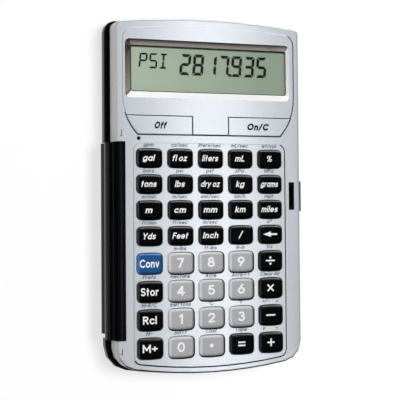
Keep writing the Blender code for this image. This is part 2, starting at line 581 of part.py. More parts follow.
def front_shell():
    def body(shape):
        rings = [level(case_outline(), SEAM)]
        for a in (math.pi / 2, math.pi / 3, math.pi / 6, 0):
            inset = FACE_EDGE * (1 - math.sin(a))
            rings.append(level(case_outline(-inset), FACE_EDGE * (math.cos(a) - 1)))
        add_rings(shape, rings)

    def panels(shape):
        add_rings(shape, panel_rings(display_outline))
        add_rings(shape, panel_rings(keypad_outline))

    def cavity(shape):
        add_prism(shape, case_outline(-SHELL_WALL), SEAM - OVERRUN, -FACE_PLATE)

    def inner_walls(shape):
        half_x = WINDOW_WIDTH / 2 + WINDOW_FRAME
        half_y = WINDOW_HEIGHT / 2 + WINDOW_FRAME
        frame = moved(rounded_rectangle(half_x, half_y, WINDOW_CORNER), WINDOW_CENTRE_X, WINDOW_CENTRE_Y)
        add_prism(shape, frame, -WINDOW_DEPTH, -FACE_PLATE / 2)
        for place in screw_places():
            add_round(shape, place, BOSS_RADIUS, CUP_TOP + CUP_FLOOR + FIT, -FACE_PLATE / 2, 12)

    def hinge_block(shape):
        """The pocket's wall follows the barrel, clear of the first column of keys."""
        radius = POCKET_OUTSIDE
        top = -FACE_PLATE / 2
        low = math.asin((SEAM - CASE_AXIS_Z) / radius)
        high = math.asin((top - CASE_AXIS_Z) / radius)
        profile = arc((CASE_AXIS_X, CASE_AXIS_Z), radius, low, high)
        profile += [(CASE_LEFT + SHELL_WALL / 2, top), (CASE_LEFT + SHELL_WALL / 2, SEAM)]
        margin = FIT + SHELL_WALL
        add_along_y(shape, profile, SPINE_BOTTOM_Y - margin, SPINE_TOP_Y + margin)

    def hinge_pocket(shape):
        pocket = CASE_BARREL_RADIUS + FIT
        y0, y1 = SPINE_BOTTOM_Y - FIT, SPINE_TOP_Y + FIT
        add_along_y(shape, circle_xz(CASE_AXIS_X, CASE_AXIS_Z, pocket, 36), y0, y1)

    def hinge_side(shape):
        y0, y1 = SPINE_BOTTOM_Y - FIT, SPINE_TOP_Y + FIT
        add_box(shape, CASE_LEFT - OVERRUN, CASE_AXIS_X, y0, y1, SEAM - OVERRUN, OVERRUN)

    def hinge_face(shape):
        y0, y1 = SPINE_BOTTOM_Y - FIT, SPINE_TOP_Y + FIT
        add_box(shape, CASE_LEFT, CASE_LEFT + CUT_INNER, y0, y1, CASE_AXIS_Z, OVERRUN)

    def pin_bore(shape):
        reach = PIN_SEAT + FIT * 2
        profile = circle_xz(CASE_AXIS_X, CASE_AXIS_Z, CASE_PIN_RADIUS + FIT, 12)
        add_along_y(shape, profile, SPINE_BOTTOM_Y - reach, SPINE_TOP_Y + reach)

    def window(shape):
        mouth = rounded_rectangle(WINDOW_WIDTH / 2, WINDOW_HEIGHT / 2, WINDOW_CORNER)
        mouth = moved(mouth, WINDOW_CENTRE_X, WINDOW_CENTRE_Y)
        sight = sight_outline(0)
        add_rings(shape, [level(sight, -WINDOW_DEPTH - OVERRUN), level(sight, -WINDOW_DEPTH),
                          level(mouth, PANEL_TOP), level(mouth, PANEL_TOP + OVERRUN)])

    def key_holes(shape):
        for _, centre, half in small_keys():
            hole = rounded_rectangle(KEY_WIDTH / 2 + FIT, half + FIT, KEY_CORNER + FIT, KEY_BULGE)
            add_prism(shape, moved(hole, *centre), -FACE_PLATE - OVERRUN / 2, PANEL_TOP + OVERRUN)
        hole = wide_key_outline(FIT)
        for side in (1, -1):
            outline = [(side * x, y) for x, y in hole]
            add_prism(shape, outline, -FACE_PLATE - OVERRUN / 2, PANEL_TOP + OVERRUN)

    def latch_openings(shape):
        half = SLOT_LENGTH / 2
        add_box(shape, SLOT_X - SLOT_WIDTH / 2, SLOT_X + SLOT_WIDTH / 2, LATCH_Y - half, LATCH_Y + half,
                -FACE_PLATE - OVERRUN / 2, OVERRUN)
        add_round(shape, (RESET_X, RESET_Y), RESET_RADIUS, -FACE_PLATE - OVERRUN / 2, OVERRUN, 12)

    def latch_pocket(shape):
        """Thins the face from below, so that the latch's frame slides close under it."""
        half = LATCH_LENGTH / 2 + FIT
        left = LATCH_LEFT - BUTTON_TRAVEL - FIT
        add_box(shape, left, WALL_INSIDE + FIT / 2, LATCH_Y - half, LATCH_Y + half,
                -FACE_PLATE - OVERRUN / 2, -LATCH_SKIN)

    def button_opening(shape):
        half = BUTTON_LENGTH / 2 + FIT
        add_box(shape, WALL_INSIDE - OVERRUN, CASE_RIGHT + OVERRUN, LATCH_Y - half, LATCH_Y + half,
                BUTTON_LOW - FIT, BUTTON_TOP + FIT)

    def screw_bores(shape):
        for place in screw_places():
            tip = CUP_TOP + SCREW_REACH
            add_round(shape, place, SCREW_SHANK_RADIUS + FIT, CUP_TOP - OVERRUN, tip + FIT, 8)

    made = solid("front_shell", body, SILVER)
    join(made, "panel_adders", panels)
    cut(made, "case_cavity", cavity)
    join(made, "inner_wall_adders", inner_walls)
    join(made, "hinge_block_adder", hinge_block)
    cut(made, "hinge_pocket_cutter", hinge_pocket)
    cut(made, "hinge_side_cutter", hinge_side)
    cut(made, "hinge_face_cutter", hinge_face)
    cut(made, "pin_bore_cutter", pin_bore)
    cut(made, "window_cutter", window)
    cut(made, "key_hole_cutters", key_holes)
    cut(made, "latch_pocket_cutter", latch_pocket)
    cut(made, "latch_slot_cutter", latch_openings)
    cut(made, "button_opening_cutter", button_opening)
    cut(made, "screw_bore_cutters", screw_bores)
    smooth(made)


# The rear shell, its door and the screws


def rear_shell():
    def body(shape):
        rings = [level(case_outline(-REAR_INSET), REAR_INSIDE)]
        for a in (0, math.pi / 6, math.pi / 3, math.pi / 2):
            inset = REAR_INSET + REAR_EDGE * (1 - math.cos(a))
            rings.append(level(case_outline(-inset), BACK + REAR_EDGE * (1 - math.sin(a))))
        add_rings(shape, rings)

    def uprights(shape):
        for x in (-RAIL_X, RAIL_X):
            add_box(shape, x - RAIL_WIDTH / 2, x + RAIL_WIDTH / 2, RAIL_BOTTOM_Y, RAIL_TOP_Y,
                    REAR_INSIDE - OVERRUN / 2, BOARD_BOTTOM_Z - FIT)
        for place in screw_places():
            add_round(shape, place, CUP_RADIUS, REAR_INSIDE - OVERRUN / 2, CUP_TOP + CUP_FLOOR, 16)

    def hinge_cut(shape):
        x = CASE_LEFT + REAR_CUT_INNER
        add_box(shape, CASE_LEFT - OVERRUN, x, SPINE_BOTTOM_Y - FIT, SPINE_TOP_Y + FIT,
                BACK - OVERRUN, REAR_INSIDE + OVERRUN)

    def door_tongue_recess(shape):
        half = DOOR_WIDTH / 2 + FIT
        low = DOOR_TOP - DOOR_TONGUE_THICKNESS - FIT
        add_box(shape, -half, half, DOOR_END_Y - FIT, CASE_END + OVERRUN, low, RECESS_TOP)

    def door_recess(shape):
        half = DOOR_WIDTH / 2 - DOOR_TONGUE + FIT
        top = RECESS_TOP - OVERRUN / 2
        add_box(shape, -half, half, DOOR_END_Y - FIT, CASE_END + OVERRUN, BACK - OVERRUN, top)

    def battery_bay(shape):
        radius = BATTERY_DIAMETER / 2 + BAY_GAP
        add_round(shape, (0.0, BATTERY_Y), radius, RECESS_TOP - OVERRUN, REAR_INSIDE + OVERRUN, 24)

    def screw_holes(shape):
        top = CUP_TOP + CUP_FLOOR + OVERRUN
        for place in screw_places():
            add_round(shape, place, SCREW_SHANK_RADIUS + FIT, CUP_TOP - OVERRUN / 2, top, 8)

    def screw_sinks(shape):
        for place in screw_places():
            add_round(shape, place, SCREW_HEAD_RADIUS + FIT, BACK - OVERRUN, CUP_TOP, 16)

    made = solid("rear_shell", body, REAR_BLACK)
    join(made, "rear_upright_adders", uprights)
    cut(made, "rear_hinge_cutter", hinge_cut)
    cut(made, "door_tongue_cutter", door_tongue_recess)
    cut(made, "door_recess_cutter", door_recess)
    cut(made, "battery_bay_cutter", battery_bay)
    cut(made, "screw_hole_cutters", screw_holes)
    cut(made, "screw_sink_cutters", screw_sinks)
    smooth(made)


def battery_door():
    outer = case_outline(-REAR_INSET)
    end_y = max(y for _, y in outer) - FACE_EDGE

    def body(shape):
        half = DOOR_WIDTH / 2 - DOOR_TONGUE
        full = DOOR_WIDTH / 2
        low = DOOR_TOP - DOOR_TONGUE_THICKNESS
        profile = [(-half, BACK), (half, BACK), (half, low), (full, low), (full, DOOR_TOP),
                   (-full, DOOR_TOP), (-full, low), (-half, low)]
        add_along_y(shape, profile, DOOR_END_Y, end_y)

    def grip(shape):
        for rib in range(DOOR_RIBS):
            y = end_y - DOOR_RIB_PITCH * (rib + 1)
            add_box(shape, -DOOR_RIB_WIDTH / 2, DOOR_RIB_WIDTH / 2, y - DOOR_RIB_THICKNESS / 2,
                    y + DOOR_RIB_THICKNESS / 2, BACK - OVERRUN, BACK + DOOR_RIB_DEPTH)

    made = solid("battery_door", body, REAR_BLACK)
    cut(made, "door_grip_cutters", grip)
    set_origin(made, (0.0, DOOR_END_Y, BACK))


def case_screws():
    for number, place in enumerate(screw_places(), 1):
        head_top = CUP_TOP - FIT
        low = head_top - SCREW_HEAD_HEIGHT

        def body(shape, place=place, low=low, head_top=head_top):
            rings = []
            full = math.pi * 2
            for radius, z in ((SCREW_HEAD_RADIUS, low), (SCREW_HEAD_RADIUS, head_top),
                              (SCREW_SHANK_RADIUS, head_top), (SCREW_SHANK_RADIUS, head_top + SCREW_REACH)):
                rings.append(level(arc(place, radius, 0, full, full / 12)[:-1], z))
            add_rings(shape, rings)

        def cross_slot(shape, place=place, low=low):
            long, short = SCREW_SLOT_LENGTH / 2, SCREW_SLOT_WIDTH / 2
            quarter = [(long, short), (short, short), (short, long)]
            cross = quarter + [(-y, x) for x, y in quarter]
            cross += [(-x, -y) for x, y in cross]
            add_prism(shape, moved(cross, *place), low - OVERRUN, low + SCREW_SLOT_DEPTH)

        made = solid("case_screw_%d" % number, body, STEEL)
        cut(made, "case_screw_slot_%d" % number, cross_slot)


# What the case holds


def display_parts():
    def pane(grow, z0, z1):
        def body(shape):
            add_prism(shape, sight_outline(grow), z0, z1)
        return body

    solid("display_lens", pane(LENS_LIP, LENS_TOP - LENS_THICKNESS, LENS_TOP), LENS)
    solid("lcd_glass", pane(LCD_LIP, LCD_TOP - LCD_THICKNESS, LCD_TOP), GLASS)

    def zebra(shape):
        y = SIGHT_Y - SIGHT_HALF_Y
        add_box(shape, -ZEBRA_LENGTH / 2, ZEBRA_LENGTH / 2, y, y + ZEBRA_WIDTH, BOARD_TOP_Z + FIT, ZEBRA_TOP)

    solid("zebra_strip", zebra, ZEBRA)


def circuit_board():
    def body(shape):
        add_box(shape, BOARD_LEFT, BOARD_RIGHT, BOARD_BOTTOM, BOARD_TOP, BOARD_BOTTOM_Z, BOARD_TOP_Z)

    solid("circuit_board", body, BOARD)


def key_places():
    places = [centre for _, centre, _ in small_keys()]
    return places + [wide_key_centre(-1), wide_key_centre(1)]


def rubber_keypad():
    def sheet(shape):
        low = RUBBER_TOP_Z - RUBBER_THICKNESS
        add_box(shape, BOARD_LEFT, BOARD_RIGHT, BOARD_BOTTOM, RUBBER_TOP, low, RUBBER_TOP_Z)

    def domes(shape):
        full = math.pi * 2
        middle = RUBBER_TOP_Z - RUBBER_THICKNESS / 2
        for centre in key_places():
            rings = []
            for radius, z in ((DOME_RADIUS, middle), (DOME_TOP_RADIUS, DOME_TOP)):
                rings.append(level(arc(centre, radius, 0, full, full / DOME_SIDES)[:-1], z))
            add_rings(shape, rings)

    made = solid("rubber_keypad", sheet, RUBBER)
    join(made, "dome_adders", domes)


def battery_and_contact():
    def cell(shape):
        full = math.pi * 2
        step_z = BATTERY_TOP - BATTERY_STEP
        rings = []
        for radius, z in ((BATTERY_DIAMETER / 2, BATTERY_BOTTOM), (BATTERY_DIAMETER / 2, step_z),
                          (BATTERY_DIAMETER / 2 - BATTERY_STEP * 2, BATTERY_TOP)):
            rings.append(level(arc((0.0, BATTERY_Y), radius, 0, full, full / 32)[:-1], z))
        add_rings(shape, rings)

    reach = CONTACT_LENGTH / 2
    low = CONTACT_TOP - CONTACT_THICKNESS

    def contact(shape):
        half = CONTACT_WIDTH / 2
        add_box(shape, -half, half, BATTERY_Y - reach, BATTERY_Y + reach, low, CONTACT_TOP)

    def fingers(shape):
        for side in (-1, 1):
            x = side * CONTACT_FINGER
            add_box(shape, x - CONTACT_SLOT / 2, x + CONTACT_SLOT / 2, BATTERY_Y - reach / 2,
                    BATTERY_Y + reach + OVERRUN, low - OVERRUN, CONTACT_TOP + OVERRUN)

    solid("battery", cell, STEEL)
    cut(solid("battery_contact", contact, STEEL), "contact_finger_cutters", fingers)


# Keys


def key_finish(name):
    if name == "convert":
        return KEY_BLUE
    if name.startswith("digit_") or name in GREY_KEYS:
        return KEY_GREY
    return KEY_BLACK


def key_body(stem, rim, top_z, edge):
    """Stem, flange and cap of one key, from its lowest ring to its top."""
    def body(shape):
        add_rings(shape, [
            level(stem, STEM_BOTTOM), level(stem, FLANGE_BOTTOM), level(rim(KEY_FLANGE), FLANGE_BOTTOM),
            level(rim(0), FLANGE_TOP), level(rim(0), top_z - edge), level(rim(-edge), top_z)])
    return body


def square_stem(centre, outline):
    """The outline drawn in to a square stem, with as many points as the outline."""
    half = KEY_STEM_HALF_WIDTH

    def clamped(value, middle):
        return middle + max(-half, min(half, value - middle))

    return [(clamped(x, centre[0]), clamped(y, centre[1])) for x, y in outline]


def keys():
    stem = rounded_rectangle(KEY_STEM_HALF_WIDTH, KEY_STEM_HALF_HEIGHT, KEY_STEM_CORNER)
    for name, centre, half in small_keys():
        def rim(grow, centre=centre, half=half):
            half_x = KEY_WIDTH / 2 + min(grow, 0)
            return moved(rounded_rectangle(half_x, half + grow, KEY_CORNER + grow / 2, KEY_BULGE), *centre)

        made = solid("key_" + name, key_body(moved(stem, *centre), rim, KEY_TOP, KEY_EDGE), key_finish(name))
        smooth(made)
        set_origin(made, (*centre, PANEL_TOP))
    for name, side in (("off", -1), ("on_clear", 1)):
        def rim(grow, side=side):
            ring = wide_key_outline(grow)
            return ring if side > 0 else [(-x, y) for x, y in reversed(ring)]

        centre = wide_key_centre(side)
        top = PANEL_TOP + WIDE_KEY_RISE
        made = solid("key_" + name, key_body(square_stem(centre, rim(0)), rim, top, WIDE_KEY_EDGE), SILVER)
        smooth(made)
        set_origin(made, (*centre, PANEL_TOP))


# The cover, the spine and their pins


def cover():
    def body(shape):
        rings = [level(cover_outline(), DESK), level(cover_outline(), COVER_TOP - COVER_EDGE)]
        rings.append(level(cover_outline(-COVER_EDGE / 3), COVER_TOP - COVER_EDGE / 3))
        rings.append(level(cover_outline(-COVER_EDGE), COVER_TOP))
        add_rings(shape, rings)

    def hollow(shape):
        add_prism(shape, cover_outline(-COVER_WALL), DESK - OVERRUN, COVER_INSIDE)

    def hinge_wall(shape):
        x = CASE_LEFT + COVER_CUT_INNER + COVER_WALL
        margin = FIT + LUG_LENGTH
        add_box(shape, COVER_LEFT + COVER_WALL / 2, x, SPINE_BOTTOM_Y - margin, SPINE_TOP_Y + margin,
                COVER_SHALLOW, COVER_INSIDE + COVER_PLATE / 2)

    def lug_reliefs(shape):
        x0 = COVER_LEFT + LUG_WIDTH
        x1 = CASE_LEFT + COVER_CUT_INNER + COVER_WALL + OVERRUN
        near = FIT + COVER_WALL
        far = FIT + LUG_LENGTH + OVERRUN
        for end, side in ((SPINE_TOP_Y, 1), (SPINE_BOTTOM_Y, -1)):
            y0, y1 = sorted((end + side * near, end + side * far))
            add_box(shape, x0, x1, y0, y1, DESK - OVERRUN, COVER_INSIDE)

    def spine_cut(shape):
        x = CASE_LEFT + COVER_CUT_INNER
        add_box(shape, COVER_LEFT - OVERRUN, x, SPINE_BOTTOM_Y - FIT, SPINE_TOP_Y + FIT,
                DESK - OVERRUN, COVER_TOP + OVERRUN)

    def shallow_rim(shape):
        add_box(shape, COVER_LEFT - OVERRUN, CASE_LEFT + HINGE_SIDE_RIM, -CASE_LENGTH, CASE_LENGTH,
                DESK - OVERRUN, COVER_SHALLOW)

    def pin_bore(shape):
        reach = PIN_SEAT + FIT * 2
        profile = circle_xz(COVER_AXIS_X, COVER_AXIS_Z, COVER_PIN_RADIUS + FIT, 8)
        add_along_y(shape, profile, SPINE_BOTTOM_Y - reach, SPINE_TOP_Y + reach)

    def hook(shape):
        root = COVER_INSIDE + COVER_PLATE / 2
        tip = DESK + FIT
        catch = tip + HOOK_BARB_HEIGHT
        profile = [(HOOK_LEFT, root), (HOOK_LEFT, catch), (HOOK_LEFT - HOOK_BARB, catch), (HOOK_LEFT, tip),
                   (HOOK_RIGHT, tip), (HOOK_RIGHT, root)]
        add_along_y(shape, profile, LATCH_Y - HOOK_LENGTH / 2, LATCH_Y + HOOK_LENGTH / 2)

    made = solid("cover", body, BLACK_PLASTIC)
    cut(made, "cover_hollow_cutter", hollow)
    join(made, "cover_hinge_wall_adder", hinge_wall)
    cut(made, "cover_lug_relief_cutters", lug_reliefs)
    cut(made, "cover_spine_cutter", spine_cut)
    cut(made, "cover_rim_cutter", shallow_rim)
    cut(made, "cover_pin_cutter", pin_bore)
    join(made, "cover_hook_adder", hook)
    set_origin(made, (COVER_AXIS_X, (SPINE_BOTTOM_Y + SPINE_TOP_Y) / 2, COVER_AXIS_Z))
    smooth(made)


def spine_profile():
    """Two barrels joined by a web whose outer side is tangent to the smaller one."""
    along_x = COVER_AXIS_X - CASE_AXIS_X
    along_z = COVER_AXIS_Z - CASE_AXIS_Z
    heading = math.atan2(along_z, along_x)
    left = heading - math.pi / 2
    big_outer = math.acos(COVER_BARREL_RADIUS / CASE_BARREL_RADIUS)
    big_inner = math.acos(WEB_INNER / CASE_BARREL_RADIUS)
    small_inner = math.acos(WEB_INNER / COVER_BARREL_RADIUS)
    big = arc((CASE_AXIS_X, CASE_AXIS_Z), CASE_BARREL_RADIUS, left + big_outer, left - math.pi - big_inner)
    centre = (COVER_AXIS_X, COVER_AXIS_Z)
    small = arc(centre, COVER_BARREL_RADIUS, left + math.pi + small_inner, left, ARC_STEP * 1.5)
    return big + small


def hinge_spine():
    low, high = SPINE_BOTTOM_Y - OVERRUN, SPINE_TOP_Y + OVERRUN

    def body(shape):
        add_along_y(shape, spine_profile(), SPINE_BOTTOM_Y, SPINE_TOP_Y)

    def short_end(shape):
        reach = COVER_BARREL_RADIUS + OVERRUN
        add_box(shape, COVER_AXIS_X - reach, COVER_AXIS_X + reach, low, SPINE_BOTTOM_Y + SPINE_COVER_SHORTER,
                COVER_AXIS_Z - reach, CASE_AXIS_Z - CASE_BARREL_RADIUS)

    def case_bore(shape):
        add_along_y(shape, circle_xz(CASE_AXIS_X, CASE_AXIS_Z, CASE_PIN_RADIUS + FIT, 12), low, high)

    def cover_bore(shape):
        add_along_y(shape, circle_xz(COVER_AXIS_X, COVER_AXIS_Z, COVER_PIN_RADIUS + FIT, 8), low, high)

    made = solid("hinge_spine", body, BLACK_PLASTIC)
    cut(made, "spine_short_end_cutter", short_end)
    cut(made, "spine_case_bore_cutter", case_bore)
    cut(made, "spine_cover_bore_cutter", cover_bore)
    set_origin(made, (CASE_AXIS_X, (SPINE_BOTTOM_Y + SPINE_TOP_Y) / 2, CASE_AXIS_Z))
    smooth(made)


def hinge_pins():
    for name, x, z, radius in (("body_hinge_pin", CASE_AXIS_X, CASE_AXIS_Z, CASE_PIN_RADIUS),
                               ("cover_hinge_pin", COVER_AXIS_X, COVER_AXIS_Z, COVER_PIN_RADIUS)):
        def body(shape, x=x, z=z, radius=radius):
            reach = FIT + PIN_SEAT
            add_along_y(shape, circle_xz(x, z, radius, 12), SPINE_BOTTOM_Y - reach, SPINE_TOP_Y + reach)

        made = solid(name, body, STEEL)
        set_origin(made, (x, (SPINE_BOTTOM_Y + SPINE_TOP_Y) / 2, z))
        smooth(made)


def release_button():
    """The button, its flange inside the wall, and the latch's frame that the hook's barb catches."""
    wall = WALL_INSIDE - FIT
    flange_left = wall - BUTTON_FLANGE_THICKNESS
    half = BUTTON_LENGTH / 2
    outside = CASE_RIGHT + BUTTON_REACH

    def body(shape):
        rings = []
        root = wall - BUTTON_FLANGE_THICKNESS / 2
        for x, inset in ((root, 0), (outside - BUTTON_EDGE, 0), (outside, BUTTON_EDGE)):
            y0, y1 = LATCH_Y - half + inset, LATCH_Y + half - inset
            z0, z1 = BUTTON_LOW + inset, BUTTON_TOP - inset
            rings.append([(x, y0, z0), (x, y1, z0), (x, y1, z1), (x, y0, z1)])
        add_rings(shape, rings)

    def flange(shape):
        reach = half + BUTTON_FLANGE
        low = BUTTON_LOW - BUTTON_FLANGE
        add_box(shape, flange_left, wall, LATCH_Y - reach, LATCH_Y + reach, low, BUTTON_TOP)

    def posts(shape):
        """They carry the frame's two arms, clear of the hook's ends."""
        for side in (-1, 1):
            ends = (side * LATCH_LENGTH / 2, side * (LATCH_LENGTH / 2 - LATCH_ARM))
            add_box(shape, flange_left, wall, LATCH_Y + min(ends), LATCH_Y + max(ends),
                    BUTTON_TOP - BUTTON_HEIGHT / 2, LATCH_TOP)

    def frame(shape):
        outer = LATCH_LENGTH / 2
        inner = outer - LATCH_ARM
        right = wall - BUTTON_FLANGE_THICKNESS / 2
        outline = [(LATCH_LEFT, -outer), (right, -outer), (right, -inner), (LATCH_BAR_RIGHT, -inner),
                   (LATCH_BAR_RIGHT, inner), (right, inner), (right, outer), (LATCH_LEFT, outer)]
        add_prism(shape, moved(outline, 0.0, LATCH_Y), LATCH_BOTTOM, LATCH_TOP)

    made = solid("release_button", body, BLACK_PLASTIC)
    join(made, "button_flange_adder", flange)
    join(made, "latch_post_adders", posts)
    join(made, "latch_frame_adder", frame)
    set_origin(made, (CASE_RIGHT, LATCH_Y, (BUTTON_TOP + BUTTON_LOW) / 2))
    smooth(made)


# Placing


def stand_on_desk():
    """Moves everything so that the origin is on the desk, under the middle of the whole part."""
    left = min(CASE_AXIS_X - CASE_BARREL_RADIUS, COVER_AXIS_X - COVER_BARREL_RADIUS)
    right = max(CASE_RIGHT + BUTTON_REACH, CASE_RIGHT + COVER_SIDE_OVERHANG)
    for made in bpy.data.objects:
        made.location.x -= (left + right) / 2
        made.location.z -= DESK


def build():
    for old in list(bpy.data.objects):
        bpy.data.objects.remove(old, do_unlink=True)
    front_shell()
    rear_shell()
    battery_door()
    case_screws()
    display_parts()
    circuit_board()
    rubber_keypad()
    battery_and_contact()
    keys()
    cover()
    hinge_spine()
    hinge_pins()
    release_button()
    stand_on_desk()


build()
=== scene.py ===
"""A folding pocket calculator: finished shells, keys, display, print and light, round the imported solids."""

import math

import bmesh
import bpy
import numpy as np
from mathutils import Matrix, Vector
from mathutils.geometry import convex_hull_2d, delaunay_2d_cdt


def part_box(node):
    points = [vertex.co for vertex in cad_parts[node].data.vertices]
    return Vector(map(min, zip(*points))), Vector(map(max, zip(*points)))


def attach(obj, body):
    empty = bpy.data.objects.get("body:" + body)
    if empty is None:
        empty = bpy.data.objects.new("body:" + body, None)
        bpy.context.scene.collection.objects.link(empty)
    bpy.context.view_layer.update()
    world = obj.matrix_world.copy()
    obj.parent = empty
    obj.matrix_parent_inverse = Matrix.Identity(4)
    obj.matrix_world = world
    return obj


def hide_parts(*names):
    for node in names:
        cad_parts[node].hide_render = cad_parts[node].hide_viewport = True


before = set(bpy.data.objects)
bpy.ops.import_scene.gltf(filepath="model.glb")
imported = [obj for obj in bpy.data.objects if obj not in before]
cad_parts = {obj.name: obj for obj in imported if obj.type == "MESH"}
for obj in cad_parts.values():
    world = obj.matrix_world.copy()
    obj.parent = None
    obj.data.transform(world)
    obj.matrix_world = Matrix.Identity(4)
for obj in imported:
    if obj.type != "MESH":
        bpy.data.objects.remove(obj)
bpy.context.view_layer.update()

# Units
MM = 0.001
DEGREE = math.pi / 180

# Camera, solved from the photograph's keys and outline; the image is 400 pixels square
SENSOR_WIDTH = 36.0
CAMERA_LENS = 90.4537
CAMERA_PLACE = (-0.134845, -0.005319, 0.398771)
CAMERA_TURN = (0.0309836, -0.3308651, -0.0076398)
CAMERA_SHIFT_Y = -0.05

# Light: each lamp's name, direction from the part, distance, size and radiance
WORLD_COLOUR = (0.96, 0.98, 1.0, 1.0)
WORLD_STRENGTH = 0.13
FLOOR_HALF = 1.5
FLOOR_COLOUR = (0.97, 0.97, 0.97, 1.0)
FLOOR_WHITE_SHARE = 0.72
MIRRORED = (0.334, 0.013, 0.943)  # where the camera's view of the face is mirrored to
LIGHTING_LAMPS = (  # with their reach: INCLUDE lights the table alone, EXCLUDE all but the table
    ("table_lamp", (0.2, 0.12, 0.945), 0.9, (0.28, 0.28), 32.5, "INCLUDE"),
    ("key_lamp", (-0.4, 0.35, 0.85), 0.9, (0.3, 0.3), 26.0, "EXCLUDE"),
)
REFLECTED_LAMPS = (  # seen in reflections alone
    ("sky_panel", MIRRORED, 0.9, (0.9, 0.9), 0.3),
    ("far_strip", (0.32, 0.9, 0.31), 0.9, (1.0, 0.2), 5.5),
    ("left_panel", (-0.786, 0.03, 0.615), 0.8, (0.9, 0.07), 2.0),
    ("face_strip", MIRRORED, 0.8, (0.9, 0.1), 1.9),
)

# Levels and places that come from the frame
PANEL_RISE = 0.4 * MM
PANEL_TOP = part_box("front_shell")[1].z
FACE_Z = PANEL_TOP - PANEL_RISE
LCD_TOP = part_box("lcd_glass")[1].z
WINDOW_DEPTH = 2.1 * MM  # from the face down to the foot of the window's sloping walls
WINDOW_SLOPE = 3.0 * MM  # how far those walls reach past the lens
FACE_EDGE = 0.9 * MM  # rounding of the face's outer edge
LOWER_END = 9.0 * MM  # the stretch of the case with the black line of painted shade
SIDE_DEPTH = 3.0 * MM  # of the left side wall, with its rounding

# Shares of a face's normal that sort the faces of a shell or a cap
STEEP, SIDEWAYS, OUTWARD, UPWARD = 0.85, 0.3, 0.15, 0.1

# Tolerances
MERGE_DISTANCE = 0.001 * MM
SAME_PLACE = 0.01 * MM
LEVEL_BAND = 0.12 * MM  # what lies this near a top or a foot belongs to it
JOINED_ANGLE = 0.5 * DEGREE

# Rounded edges of the shells, and the depth of every finish's grain
FINE_EDGE = 0.12 * MM
SHELL_EDGE = 0.15 * MM
COVER_EDGE = 0.2 * MM
SHARP_ANGLE = 32 * DEGREE
BUMP_DEPTH = 0.05 * MM

# Painted shade: dark lines at shaded steps and edges, a dark band round the display, and dark rims round the
# keys
RIM_WIDTH = 0.25 * MM  # round the grey keys; with its shift right and down, a painted key shadow
RIM_SHADOW_SHIFT = (0.22 * MM, -0.19 * MM)
THIN_RIM_WIDTH = 0.07 * MM  # round the dark keys, also shifted as a painted key shadow
THIN_RIM_SHADOW_SHIFT = (0.1 * MM, -0.06 * MM)
SHADOW_LINE_WIDTH = 0.34  # of the panels' painted shadow lines, in millimetres, as the film is
# width of the dark band round the display: its dark outline and painted shadow
BORDER_SHADOW_WIDTH = 0.3 * MM
RIM_CUT = 0.08 * MM  # of the face's rounding, from the face down to its black line of painted shade
WALL_SHADE_SLOT, WALL_LIGHT_SLOT = 1, 2  # material places on the front shell: the window walls' painted shade and painted light

# Keycaps
WIDE_KEYS = ("key_off", "key_on_clear")
GREY_KEYS = {"key_decimal_point"} | {"key_digit_%d" % digit for digit in range(10)}
KEY_FLANGE = 0.8 * MM  # that the solid key has above and below its cap
KEY_BULGE = 0.35 * MM  # bow of a cap's upper and lower sides
KEY_CORNER = 1.5 * MM
CAP_FOOT = 1.7 * MM  # below the face
CAP_DRAFT = 0.08 * MM
CAP_SLOPE_WIDTH = 0.8 * MM
CAP_SLOPE_DEPTH = 0.55 * MM
CAP_LAND = 0.5 * MM
CAP_CROWN = 0.05 * MM
CAP_INSET = (0.13 * MM, 0.35 * MM)  # from the solid key's outline
CAP_SHIFT = (0.09 * MM, 0.05 * MM, 0.0)
WELL_GAP = 0.3 * MM  # round each solid key in its moulded hole
KEY_GAP = 0.12 * MM  # round each cap in the overlay's opening
OVERLAY_LAP = 0.25 * MM  # past the moulded hole
OVERLAY_DEPTH = 0.02 * MM
CORNER_STEPS = 8
SIDE_STEPS = 8
TOP_SHARES = (0.97, 0.8, 0.55, 0.28)

# Print: a thin raised film on the caps and the panels, laid out in millimetres
PRINT_DEPTH = 0.03
PRINT_SHIFT = (-0.25 * MM, 0.15 * MM)
OFF_SHIFT = (0.4 * MM, 0)
ON_SHIFT = (-1.0 * MM, 0)
UNIT_HEIGHT, UNIT_STROKE = 2.5, 0.18
COMMAND_HEIGHT, COMMAND_STROKE = 3.15, 0.18
DIGIT_HEIGHT, DIGIT_STROKE = 3.9, 0.19
SWITCH_HEIGHT, SWITCH_STROKE = 2.8, 0.27
LEGEND_HEIGHT, LEGEND_STROKE = 1.55, 0.165
LEGEND_RISE = 0.45  # from a key's upper edge to the foot of the words over it
ITALIC = 0.24
SLASH_SCALE = 1.25  # the fraction key's slash, to the words' height
PERCENT_STROKE_SHARE = 0.72
OFF_WIDTH, ON_WIDTH = 5.6, 10.0
PIP_SHADOW_STROKE = 0.28

# Strokes of the letters, on a capital's height of one
LOWER = 0.66  # height of the small letters
TAIL = -0.27
LETTER_GAP = 0.13
WORD_GAP = 0.3
ARC_STEP = 15  # degrees
DISC_CORNERS = 24
POINT_MERGE = 1e-5

# Key, words, width in millimetres: the upper four rows, in bold italics
UNIT_WORDS = (
    ("gallon", "gal", 5.3), ("fluid_ounce", "fl oz", 6.7), ("liter", "liters", 7.3),
    ("milliliter", "mL", 4.7), ("percent", "%", 3.0),
    ("ton", "tons", 6.9), ("pound", "lbs", 4.6), ("dry_ounce", "dry oz", 8.6), ("kilogram", "kg", 4.1),
    ("gram", "grams", 8.1),
    ("meter", "m", 3.3), ("centimeter", "cm", 5.4), ("millimeter", "mm", 6.3), ("kilometer", "km", 5.0),
    ("mile", "miles", 7.7),
    ("yard", "Yds", 6.0), ("foot", "Feet", 6.9), ("inch", "Inch", 7.0), ("fraction_bar", "/", 2.2),
)
# The same for the keys of the left column
COMMAND_WORDS = (
    ("convert", "Conv", 8.0), ("store", "Stor", 7.2), ("recall", "Rcl", 5.6), ("memory_plus", "M+", 6.2),
)
